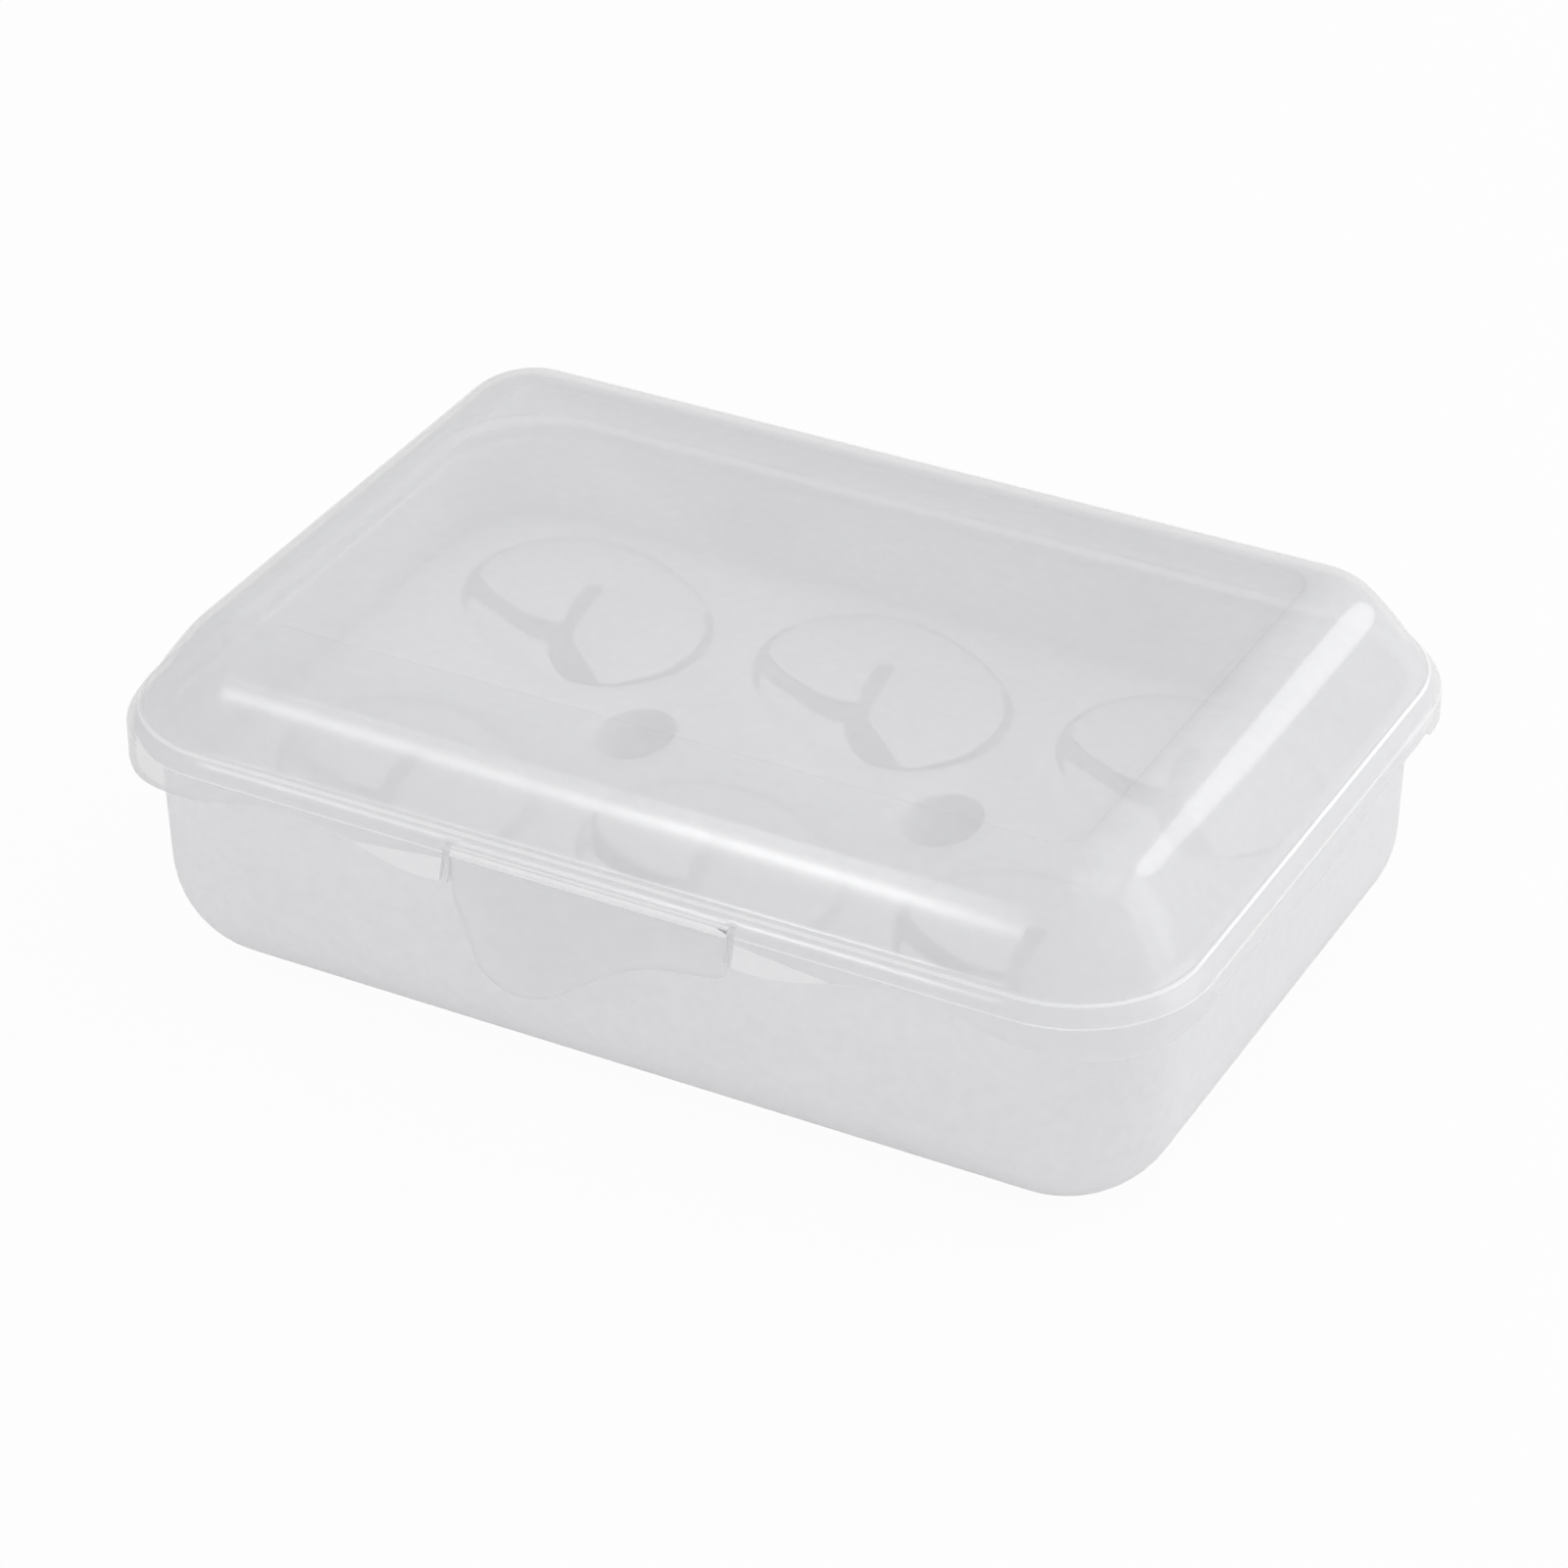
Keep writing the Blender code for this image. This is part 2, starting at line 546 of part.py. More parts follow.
def petal_outline(place):
    """Outline of a petal: along the mouth at a film's gap, then back along its free edge."""
    first, last = PETAL_ARCS_DEG[place]
    turns = [first + (last - first) * step / PETAL_ARC_STEPS for step in range(PETAL_ARC_STEPS + 1)]
    shares = {"left": LEFT_EDGE_SHARES, "front": FRONT_EDGE_SHARES, "right": RIGHT_EDGE_SHARES}[place]
    middle = Vector((MOUTH_SHIFT_X, MOUTH_SHIFT_Y, 0))
    edge = curve_through([middle + Vector((x, y, 0)) * MOUTH_RADIUS for x, y in shares], PETAL_CURVE_STEPS)
    return [mouth_point(math.radians(turn), PETAL_GAP) for turn in turns] + edge


def petal_hinge(root_deg):
    """Nearest point of a petal's hinge line, which touches the mouth at the petal's root."""
    away = Vector((math.cos(math.radians(root_deg)), math.sin(math.radians(root_deg)), 0))
    steps = [2 * math.pi * step / MOUTH_STEPS for step in range(MOUTH_STEPS)]
    return away * max(mouth_point(angle).dot(away) for angle in steps)


def cup_centres():
    """Middles of the cups by column and row, from the left front."""
    for column in range(CUP_COLUMNS):
        for row in range(CUP_ROWS):
            x = (column - (CUP_COLUMNS - 1) / 2) * CUP_PITCH_X
            y = (row - (CUP_ROWS - 1) / 2) * CUP_PITCH_Y
            yield f"{column + 1}{'ab'[row]}", Vector((x, y, 0))


def make_petals(tray):
    """Three leaves for each cup, each with its origin on its hinge line at the underside of the plate."""
    underside = Vector((0, 0, TRAY_TOP_Z - TRAY_PLATE))
    petals = []
    for cup, centre in cup_centres():
        for place, root_deg in PETAL_ROOTS_DEG.items():
            hinge = petal_hinge(root_deg)
            outline = [point - hinge for point in petal_outline(place)]
            thickness = Vector((0, 0, PETAL_THICKNESS))
            petal = prism(f"petal_{cup}_{place}", outline, Vector((0, 0, 0)), thickness)
            petal.matrix_world = Matrix.Translation(centre + hinge + underside)
            petal.parent = tray
            petals.append(petal)
    return petals


def oval(half_x, half_y, centre, z):
    angles = [2 * math.pi * step / OVAL_STEPS for step in range(OVAL_STEPS)]
    return [Vector((centre.x + half_x * math.cos(a), centre.y + half_y * math.sin(a), z)) for a in angles]


def make_tray():
    """Plate with a short down-turned edge, six open cup mouths and two hollow legs."""
    under_z = TRAY_TOP_Z - TRAY_PLATE
    inner = TUB_WALL + wall_inset(TRAY_TOP_Z)
    half_x = LID_WIDTH / 2 - TUB_SETBACK - inner - TRAY_END_GAP
    half_y = LID_DEPTH / 2 - TUB_SETBACK - inner - TRAY_SIDE_GAP
    corner = TUB_CORNER - inner - TRAY_SIDE_GAP

    def plate_ring(inset, z):
        return ring(half_x - inset, half_y - inset, corner - inset, z, TUB_CORNER_STEPS)

    edge_z = TRAY_TOP_Z - TRAY_EDGE_DEPTH
    tray = loft("egg_tray", [
        plate_ring(TRAY_PLATE, under_z), plate_ring(TRAY_PLATE, edge_z), plate_ring(0, edge_z),
        plate_ring(0, TRAY_TOP_Z - TRAY_EDGE_ROUND), plate_ring(TRAY_EDGE_ROUND, TRAY_TOP_Z),
    ])
    steps = [2 * math.pi * step / MOUTH_STEPS for step in range(MOUTH_STEPS)]
    for cup, centre in cup_centres():
        outline = [mouth_point(angle) for angle in steps]
        start = centre + Vector((0, 0, under_z - CUT_OVERRUN))
        cutter = prism(f"mouth_{cup}", outline, start, Vector((0, 0, TRAY_PLATE + 2 * CUT_OVERRUN)))
        combine(tray, cutter, "DIFFERENCE")
    foot_z = TUB_WALL + LEG_FLOOR_GAP
    for side in (-1, 1):
        centre = Vector((side * CUP_PITCH_X / 2, 0, 0))
        x, y = LEG_HALF_X, LEG_HALF_Y
        foot = oval(x - LEG_TAPER, y - LEG_TAPER, centre, foot_z)
        combine(tray, loft(f"leg_{side}", [foot, oval(x, y, centre, under_z + TRAY_PLATE / 2)]), "UNION")
        x, y = x - LEG_WALL, y - LEG_WALL
        foot = oval(x - LEG_TAPER, y - LEG_TAPER, centre, foot_z + LEG_WALL)
        bore = loft(f"leg_bore_{side}", [foot, oval(x, y, centre, TRAY_TOP_Z + CUT_OVERRUN)])
        combine(tray, bore, "DIFFERENCE")
    return tray


def main():
    clear_scene()
    clear_plastic = plastic("clear_polypropylene", POLYPROPYLENE, 0.3)
    milky_plastic = plastic("milky_polypropylene", POLYPROPYLENE, 0.45)
    lid = make_lid()
    place_at(lid, Vector((0, HINGE_Y, HINGE_Z)))
    clasp = make_clasp(Vector((0, -LID_DEPTH / 2 + band_inset(CLASP_HINGE_Z, 0), CLASP_HINGE_Z)))
    tub = make_tub()
    tray = make_tray()
    petals = make_petals(tray)
    for body in [lid, clasp]:
        body.data.materials.append(clear_plastic)
    for body in [tub, tray] + petals:
        body.data.materials.append(milky_plastic)


main()
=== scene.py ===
"""Looks of the egg storage box: natural polypropylene mouldings on a white table, as in the photograph."""

import math

import bmesh
import bpy
from mathutils import Matrix, Vector


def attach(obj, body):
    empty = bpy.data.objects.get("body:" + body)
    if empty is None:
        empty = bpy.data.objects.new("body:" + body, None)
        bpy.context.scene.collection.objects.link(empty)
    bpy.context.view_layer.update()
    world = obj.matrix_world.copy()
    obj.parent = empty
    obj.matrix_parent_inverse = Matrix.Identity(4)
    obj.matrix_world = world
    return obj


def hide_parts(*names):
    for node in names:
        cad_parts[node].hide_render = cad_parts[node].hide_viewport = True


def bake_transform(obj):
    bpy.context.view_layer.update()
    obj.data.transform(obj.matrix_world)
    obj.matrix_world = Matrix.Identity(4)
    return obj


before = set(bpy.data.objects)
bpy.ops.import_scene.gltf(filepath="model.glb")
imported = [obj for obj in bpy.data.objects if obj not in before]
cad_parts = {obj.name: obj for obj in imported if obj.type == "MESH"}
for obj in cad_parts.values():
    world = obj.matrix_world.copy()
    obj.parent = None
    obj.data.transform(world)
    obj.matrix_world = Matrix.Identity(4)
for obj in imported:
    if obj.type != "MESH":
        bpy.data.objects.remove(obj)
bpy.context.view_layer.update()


# Lid: one injection moulding of clear natural polypropylene, 1.2 mm thick, with a smooth skin inside
# and out. Its dome leans in to a large shoulder and a sunk top panel; the skirt under its rim band ends in
# a wavy edge, with a window in front for the clasp.
LID_HALF_X, LID_HALF_Y, LID_CORNER = 0.1000, 0.06925, 0.0239
LID_WALL = 0.0012
LID_TOP_Z, LEDGE_Z, RIM_EDGE_Z = 0.0660, 0.04945, 0.04615
BAND_INSET, LEDGE_INSET = 0.0023, 0.0006
DOME_TOP_INSET, SHOULDER_RADIUS = 0.0144, 0.0134
PANEL_HALF_X, PANEL_HALF_Y, PANEL_CORNER = 0.0762, 0.0470, 0.0050
PANEL_SUNK, PANEL_STEP = 0.0006, 0.0008
EDGE_ROUND = 0.0003
SKIRT_DROP = 0.0062
SKIRT_EDGE_ROUND = 0.0002
FACET_LENGTH, FACET_TOP, FACET_FALL = 0.024, 0.0009, 0.0026
WALL_CROWN_DEG = 3.9
FLARE_REACH, FLARE_LENGTH = 0.0012, 0.019
LONG_EDGE_SHARES = (
    (0.0, 0.50), (0.197, 0.58), (0.359, 0.79), (0.443, 0.83), (0.512, 0.70), (0.591, 0.46),
    (0.670, 0.31), (0.769, 0.27), (0.848, 0.33), (0.926, 0.52), (1.0, 0.70),
)
SHORT_EDGE_SHARES = (
    (0.0, 0.96), (0.176, 0.91), (0.331, 0.73), (0.463, 0.60), (0.66, 0.51), (0.882, 0.51),
    (0.96, 0.46), (1.0, 0.69),
)
CLASP_HALF_WIDTH, CLASP_SLOT = 0.0257, 0.0015
CLASP_HINGE_Z, CLASP_SLOT_TOP_Z, FILM_GAP = 0.04675, 0.0478, 0.0004
HINGE_X, HINGE_Y, HINGE_Z = 0.038, 0.0706, 0.0384
HOOK_BORE, HOOK_WALL, HOOK_WIDTH = 0.0017, 0.0013, 0.009
HOOK_MOUTH, HOOK_MOUTH_CENTRE = math.radians(100.0), math.radians(245.0)
CORNER_STEPS, LONG_CUTS, SHORT_CUTS, SHOULDER_STEPS, INNER_SHOULDER_STEPS, WALL_STEPS = 14, 60, 44, 16, 12, 8
HOOK_STEPS = 30
FLARE_EASE = 0.7
RIM_ROUND_SHARES = ((0, -1), (0.2, 0.1), (0.7, 1))
LEDGE_ROUND_SHARES = ((-1, -1.3), (0, -0.3), (0.7, 0))
FOOT_ROUND_SHARES = ((0, 0.3), (1, 1.4))
PANEL_STEP_SHARES = ((1, 0), (0.75, 0.15), (0.25, 0.85), (0, 1))
CLOUD_MM, GRAIN_MM, GRAIN_DEPTH_MM = 2.5, 0.4, 0.0015
CLOUD_FROM, CLOUD_TO = 0.35, 0.65
MILKY_FADE = 0.006
CUTTER_REACH = 0.002
HAIR = 1e-6
FACING, SLOT_FACING = 0.99, 0.5


def linear(hex_colour):
    """An sRGB hex colour as the linear RGBA that shader sockets take."""
    channels = [int(hex_colour[i:i + 2], 16) / 255 for i in (1, 3, 5)]
    return [c / 12.92 if c <= 0.04045 else ((c + 0.055) / 1.055) ** 2.4 for c in channels] + [1.0]


def add_node(owner, kind, settings=None, **links):
    """Adds a node to a material or the world, and links outputs of other nodes into its inputs."""
    node = owner.node_tree.nodes.new(kind)
    for name, value in (settings or {}).items():
        if name in node.inputs:
            node.inputs[name].default_value = value
        else:
            setattr(node, name, value)
    for name, output in links.items():
        owner.node_tree.links.new(output, node.inputs[name.replace("_", " ")])
    return node


def polypropylene(name, hex_colour, cloud_hex, alpha, roughness, depth_mm):
    """Natural polypropylene: light goes some way in, and the flow in the mould leaves it faintly cloudy."""
    material = bpy.data.materials.new(name)
    material.use_nodes = True
    shader = material.node_tree.nodes["Principled BSDF"]
    place = add_node(material, "ShaderNodeTexCoord")
    clouds = add_node(
        material, "ShaderNodeTexNoise", {"Scale": 1000 / CLOUD_MM, "Detail": 5.0, "Roughness": 0.6},
        Vector=place.outputs["Object"],
    )
    tint = add_node(material, "ShaderNodeValToRGB", Fac=clouds.outputs["Fac"])
    tint.color_ramp.elements[0].position = CLOUD_FROM
    tint.color_ramp.elements[0].color = linear(cloud_hex)
    tint.color_ramp.elements[1].position = CLOUD_TO
    tint.color_ramp.elements[1].color = linear(hex_colour)
    grain = add_node(
        material, "ShaderNodeTexNoise", {"Scale": 1000 / GRAIN_MM, "Detail": 2.0, "Roughness": 0.6},
        Vector=place.outputs["Object"],
    )
    bump = add_node(
        material, "ShaderNodeBump", {"Strength": 0.5, "Distance": GRAIN_DEPTH_MM / 1000},
        Height=grain.outputs["Fac"],
    )
    links = material.node_tree.links
    links.new(tint.outputs["Color"], shader.inputs["Base Color"])
    links.new(bump.outputs["Normal"], shader.inputs["Normal"])
    shader.inputs["Roughness"].default_value = roughness
    shader.inputs["IOR"].default_value = 1.49
    shader.inputs["Alpha"].default_value = alpha
    shader.inputs["Subsurface Weight"].default_value = 1.0 if depth_mm else 0.0
    shader.inputs["Subsurface Radius"].default_value = (1.0, 1.0, 1.0)
    shader.inputs["Subsurface Scale"].default_value = depth_mm / 1000
    return material


def let_light_through(material, share):
    """Lets light pass the thin wall, but for a share: its haze scatters light on instead of stopping it."""
    tree = material.node_tree
    shader = tree.nodes["Principled BSDF"]
    ray = add_node(material, "ShaderNodeLightPath")
    passing = add_node(material, "ShaderNodeMath", {"operation": "MAXIMUM"})
    tree.links.new(ray.outputs["Is Shadow Ray"], passing.inputs[0])
    tree.links.new(ray.outputs["Is Diffuse Ray"], passing.inputs[1])
    stopped = add_node(material, "ShaderNodeMapRange", {"To Min": 1.0, "To Max": share})
    tree.links.new(passing.outputs[0], stopped.inputs["Value"])
    alpha = add_node(material, "ShaderNodeMath", {"operation": "MULTIPLY"})
    if shader.inputs["Alpha"].is_linked:
        tree.links.new(shader.inputs["Alpha"].links[0].from_socket, alpha.inputs[0])
    else:
        alpha.inputs[0].default_value = shader.inputs["Alpha"].default_value
    tree.links.new(stopped.outputs[0], alpha.inputs[1])
    tree.links.new(alpha.outputs[0], shader.inputs["Alpha"])


def milkier_outside_panel(material, inside_alpha, outside_alpha):
    """Makes the lid clear in its thin polished panel and milkier over the shoulders, walls and rim."""
    tree = material.node_tree
    place = add_node(material, "ShaderNodeTexCoord")
    parts = add_node(material, "ShaderNodeSeparateXYZ", Vector=place.outputs["Object"])
    past = []
    for axis, edge in (("X", PANEL_HALF_X), ("Y", PANEL_HALF_Y)):
        across = add_node(material, "ShaderNodeMath", {"operation": "ABSOLUTE"})
        tree.links.new(parts.outputs[axis], across.inputs[0])
        beyond = add_node(material, "ShaderNodeMapRange", {"From Min": edge, "From Max": edge + MILKY_FADE})
        tree.links.new(across.outputs[0], beyond.inputs["Value"])
        past.append(beyond)
    most = add_node(material, "ShaderNodeMath", {"operation": "MAXIMUM"})
    tree.links.new(past[0].outputs[0], most.inputs[0])
    tree.links.new(past[1].outputs[0], most.inputs[1])
    alpha = add_node(material, "ShaderNodeMapRange", {"To Min": inside_alpha, "To Max": outside_alpha})
    tree.links.new(most.outputs[0], alpha.inputs["Value"])
    tree.links.new(alpha.outputs[0], tree.nodes["Principled BSDF"].inputs["Alpha"])


def start_cube(name, half_x, half_y, low_z, high_z, corner, corner_steps, long_cuts, short_cuts):
    """A cube with rounded upright edges and stations on its straight sides, left in edit mode."""
    bpy.ops.object.select_all(action="DESELECT")
    bpy.ops.mesh.primitive_cube_add(size=1)
    piece = bpy.context.object
    piece.name = piece.data.name = name
    piece.scale = (2 * half_x, 2 * half_y, high_z - low_z)
    piece.location.z = (high_z + low_z) / 2
    bpy.ops.object.transform_apply(location=True, rotation=True, scale=True)
    bpy.ops.object.mode_set(mode="EDIT")
    select_edges(piece, lambda edge: abs(edge.verts[0].co.z - edge.verts[1].co.z) > HAIR)
    bpy.ops.mesh.bevel(offset=corner, segments=corner_steps, profile=0.5)
    for side, length, cuts in ((1, half_x - corner, long_cuts), (0, half_y - corner, short_cuts)):
        def straight(edge, side=side, length=length):
            along = abs(edge.verts[0].co[1 - side] - edge.verts[1].co[1 - side])
            return abs(along - 2 * length) < 10 * HAIR
        select_edges(piece, straight)
        bpy.ops.mesh.subdivide(number_cuts=cuts)
    bpy.ops.mesh.select_mode(type="FACE")
    bpy.ops.mesh.select_all(action="DESELECT")
    mesh = bmesh.from_edit_mesh(piece.data)
    for face in mesh.faces:
        face.select_set(abs(face.normal.z) > FACING)
    bmesh.update_edit_mesh(piece.data)
    bpy.ops.mesh.dissolve_faces(use_verts=False)
    return piece


def select_edges(piece, wanted):
    """Selects only the wanted edges of the piece in edit mode."""
    bpy.ops.mesh.select_mode(type="EDGE")
    bpy.ops.mesh.select_all(action="DESELECT")
    mesh = bmesh.from_edit_mesh(piece.data)
    for edge in mesh.edges:
        if wanted(edge):
            edge.select_set(True)
    bmesh.update_edit_mesh(piece.data)


def select_cap(piece, direction):
    """Selects only the large level face that looks up (1) or down (-1)."""
    bpy.ops.mesh.select_mode(type="FACE")
    bpy.ops.mesh.select_all(action="DESELECT")
    mesh = bmesh.from_edit_mesh(piece.data)
    mesh.faces.ensure_lookup_table()
    caps = [face for face in mesh.faces if face.normal.z * direction > FACING]
    max(caps, key=lambda face: face.calc_area()).select_set(True)
    bmesh.update_edit_mesh(piece.data)


def follow_profile(profile, side):
    """Carries the selected face, which looks up (1) or down (-1), along a profile of inset and height."""
    (inset, z) = profile[0]
    for next_inset, next_z in profile[1:]:
        inward, rise = next_inset - inset, next_z - z
        if abs(inward) < HAIR:
            bpy.ops.mesh.extrude_region_move(TRANSFORM_OT_translate={"value": (0, 0, rise)})
        else:
            depth = rise * side
            bpy.ops.mesh.inset(thickness=inward, depth=depth, use_even_offset=True)
        inset, z = next_inset, next_z


def arc(centre_inset, centre_z, radius, start_deg, end_deg, steps):
    """Profile points of an arc, with the angle measured from straight up towards the outside."""
    angles = [math.radians(start_deg + (end_deg - start_deg) * i / steps) for i in range(steps + 1)]
    return [(centre_inset - radius * math.sin(a), centre_z + radius * math.cos(a)) for a in angles]


def crowned(start, end, turn_deg, steps):
    """Profile points between two ends of a wall that bows outwards, turning by an angle towards each end."""
    along = Vector(end) - Vector(start)
    bow = Vector((-along.y, along.x)) * math.tan(math.radians(turn_deg))
    shares = [step / steps for step in range(1, steps)]
    return [tuple(Vector(start) + along * share + bow * share * (1 - share)) for share in shares]


def along_table(table, share):
    """Smooth value between the stations of a table of shares."""
    places = [place for place, _ in table]
    values = [value for _, value in table]
    index = max(0, min(len(table) - 2, sum(place <= share for place in places) - 1))
    before = values[max(0, index - 1)]
    after = values[min(len(values) - 1, index + 2)]
    low, high = values[index], values[index + 1]
    t = (share - places[index]) / (places[index + 1] - places[index])
    bend = (2 * before - 5 * low + 4 * high - after) * t * t + (3 * low - before - 3 * high + after) * t ** 3
    return (2 * low + (high - before) * t + bend) / 2


def skirt_edge_z(x, y):
    """Height of the skirt's wavy lower edge at a place on the lid's outline."""
    core_x, core_y = LID_HALF_X - LID_CORNER, LID_HALF_Y - LID_CORNER
    past_x, past_y = abs(x) - core_x, abs(y) - core_y
    if past_x > HAIR and past_y > HAIR:
        turn = math.atan2(past_y, past_x) / (math.pi / 2)
        end = SHORT_EDGE_SHARES[-1][1] * (1 - turn) + LONG_EDGE_SHARES[-1][1] * turn
        share = end + (1 - end) * math.sin(math.pi * turn) ** 2
    elif past_x > HAIR:
        share = along_table(SHORT_EDGE_SHARES, min(1, abs(y) / core_y))
    else:
        share = along_table(LONG_EDGE_SHARES, min(1, abs(x) / core_x))
    return RIM_EDGE_Z - SKIRT_DROP * share


def redraw_corners(piece, old_core, half_x, half_y, corner):
    """Moves the selected face's rim onto a rounded rectangle of another corner radius."""
    mesh = bmesh.from_edit_mesh(piece.data)
    for vertex in [v for v in mesh.verts if v.select]:
        near_x = max(-old_core[0], min(old_core[0], vertex.co.x))
        near_y = max(-old_core[1], min(old_core[1], vertex.co.y))
        out = Vector((vertex.co.x - near_x, vertex.co.y - near_y)).normalized() * corner
        vertex.co.x = near_x * (half_x - corner) / old_core[0] + out.x
        vertex.co.y = near_y * (half_y - corner) / old_core[1] + out.y
    bmesh.update_edit_mesh(piece.data)


def apply_boolean(piece, tool, operation):
    """Joins a closed piece to another, or cuts it out, and removes it."""
    modifier = piece.modifiers.new("work", "BOOLEAN")
    modifier.operation, modifier.solver, modifier.object = operation, "EXACT", tool
    bpy.context.view_layer.objects.active = piece
    bpy.ops.object.modifier_apply(modifier=modifier.name)
    bpy.data.objects.remove(tool, do_unlink=True)


def cut_away(piece, cutter):
    """Cuts a closed piece out of another."""
    apply_boolean(piece, cutter, "DIFFERENCE")


def block(low, high):
    """A plain cutter between two corners."""
    bpy.ops.object.select_all(action="DESELECT")
    bpy.ops.mesh.primitive_cube_add(size=1)
    cutter = bpy.context.object
    cutter.scale = [b - a for a, b in zip(low, high)]
    cutter.location = [(a + b) / 2 for a, b in zip(low, high)]
    bpy.ops.object.transform_apply(location=True, rotation=True, scale=True)
    return cutter


def smooth(piece, degrees):
    """Shades the piece smooth up to an angle between faces."""
    bpy.ops.object.select_all(action="DESELECT")
    piece.select_set(True)
    bpy.context.view_layer.objects.active = piece
    bpy.ops.object.shade_smooth_by_angle(angle=math.radians(degrees))


def round_edges(piece, width, degrees, segments=2):
    """Rounds the sharp edges of a finished shape."""
    modifier = piece.modifiers.new("round", "BEVEL")
    modifier.width, modifier.segments = width, segments
    modifier.limit_method, modifier.angle_limit = "ANGLE", math.radians(degrees)
    modifier.harden_normals = False
    bpy.context.view_layer.objects.active = piece
    bpy.ops.object.modifier_apply(modifier=modifier.name)


def paint_highlight(piece, skin, wanted):
    """Gives a second material, the painted highlight, to the wanted faces, so that they look whiter."""
    piece.data.materials.append(skin)
    for face in piece.data.polygons:
        if wanted(face):
            face.material_index = 1


dome_foot = BAND_INSET + LEDGE_INSET
dome_lean = math.atan2(DOME_TOP_INSET - dome_foot, LID_TOP_Z - LEDGE_Z)
band_lean = math.atan2(BAND_INSET, LEDGE_Z - RIM_EDGE_Z)
shoulder_turn = 90 - math.degrees(dome_lean)
shoulder_inset = DOME_TOP_INSET + SHOULDER_RADIUS * math.tan(math.radians(shoulder_turn) / 2)
shoulder_z = LID_TOP_Z - SHOULDER_RADIUS
lid_core = (LID_HALF_X - LID_CORNER, LID_HALF_Y - LID_CORNER)
panel_core = (PANEL_HALF_X - PANEL_CORNER, PANEL_HALF_Y - PANEL_CORNER)


def sink_panel(piece, level_z):
    """Steps the selected level face down to the sunk panel, inside its rounded outline."""
    old_core = lid_core
    for out_share, drop_share in PANEL_STEP_SHARES:
        grow = PANEL_STEP * out_share
        bpy.ops.mesh.inset(thickness=EDGE_ROUND / 2, depth=0)
        redraw_corners(piece, old_core, PANEL_HALF_X + grow, PANEL_HALF_Y + grow, PANEL_CORNER + grow)
        old_core = panel_core
        mesh = bmesh.from_edit_mesh(piece.data)
        for vertex in [v for v in mesh.verts if v.select]:
            vertex.co.z = level_z - PANEL_SUNK * drop_share
        bmesh.update_edit_mesh(piece.data)


lid = start_cube(
    "lid", LID_HALF_X, LID_HALF_Y, RIM_EDGE_Z - SKIRT_DROP, RIM_EDGE_Z - EDGE_ROUND, LID_CORNER,
    CORNER_STEPS, LONG_CUTS, SHORT_CUTS,
)
outside = [
    (inset + EDGE_ROUND * across, z + EDGE_ROUND * rise)
    for inset, z, shares in (
        (0, RIM_EDGE_Z, RIM_ROUND_SHARES), (BAND_INSET, LEDGE_Z, LEDGE_ROUND_SHARES),
        (dome_foot, LEDGE_Z, FOOT_ROUND_SHARES),
    )
    for across, rise in shares
]
shoulder = arc(shoulder_inset, shoulder_z, SHOULDER_RADIUS, shoulder_turn - WALL_CROWN_DEG, 0, SHOULDER_STEPS)
outside += crowned(outside[-1], shoulder[0], WALL_CROWN_DEG, WALL_STEPS) + shoulder
select_cap(lid, 1)
follow_profile(outside, 1)
sink_panel(lid, LID_TOP_Z)

under_z = LEDGE_Z - LID_WALL
skirt_inner_z = RIM_EDGE_Z + (LID_WALL - LID_WALL / math.cos(band_lean)) / math.tan(band_lean)
inside = [
    (0, RIM_EDGE_Z - SKIRT_DROP),
    (LID_WALL, RIM_EDGE_Z - SKIRT_DROP),
    (LID_WALL, skirt_inner_z),
    ((under_z - RIM_EDGE_Z) * math.tan(band_lean) + LID_WALL / math.cos(band_lean), under_z),
    (dome_foot + LID_WALL * (1 - math.sin(dome_lean)) / math.cos(dome_lean), under_z + EDGE_ROUND / 10),
] + arc(shoulder_inset, shoulder_z, SHOULDER_RADIUS - LID_WALL, shoulder_turn, 0, INNER_SHOULDER_STEPS)
select_cap(lid, -1)
follow_profile(inside, -1)
sink_panel(lid, LID_TOP_Z - LID_WALL)
mesh = bmesh.from_edit_mesh(lid.data)
for vertex in mesh.verts:
    if vertex.co.z < RIM_EDGE_Z - SKIRT_DROP + HAIR:
        vertex.co.z = skirt_edge_z(vertex.co.x, vertex.co.y)
        if vertex.co.y < -LID_HALF_Y + 2 * LID_WALL:
            past_clasp = (abs(vertex.co.x) - CLASP_HALF_WIDTH) / FLARE_LENGTH
            vertex.co.y -= FLARE_REACH * (1 - min(1, max(0, past_clasp))) ** FLARE_EASE
bmesh.update_edit_mesh(lid.data)
bpy.ops.object.mode_set(mode="OBJECT")

front = -LID_HALF_Y


def facet_top_z(x):
    """Height of the line under which the skirt flares out beside the clasp."""
    return RIM_EDGE_Z - FACET_TOP - FACET_FALL * (abs(x) - CLASP_HALF_WIDTH) / FACET_LENGTH


bpy.ops.object.mode_set(mode="EDIT")
for side in (-1, 1):
    bpy.ops.mesh.select_mode(type="FACE")
    bpy.ops.mesh.select_all(action="DESELECT")
    mesh = bmesh.from_edit_mesh(lid.data)
    for face in mesh.faces:
        x, y, z = face.calc_center_median()
        past_slot = x * side - CLASP_HALF_WIDTH
        if y < front + LID_WALL / 2 and z < RIM_EDGE_Z - EDGE_ROUND and 0 < past_slot < FACET_LENGTH:
            face.select_set(True)
    bmesh.update_edit_mesh(lid.data)
    slope = Vector((side * FACET_FALL / FACET_LENGTH, 0, 1)).normalized()
    bpy.ops.mesh.bisect(plane_co=(side * CLASP_HALF_WIDTH, 0, facet_top_z(CLASP_HALF_WIDTH)), plane_no=slope)
mesh = bmesh.from_edit_mesh(lid.data)
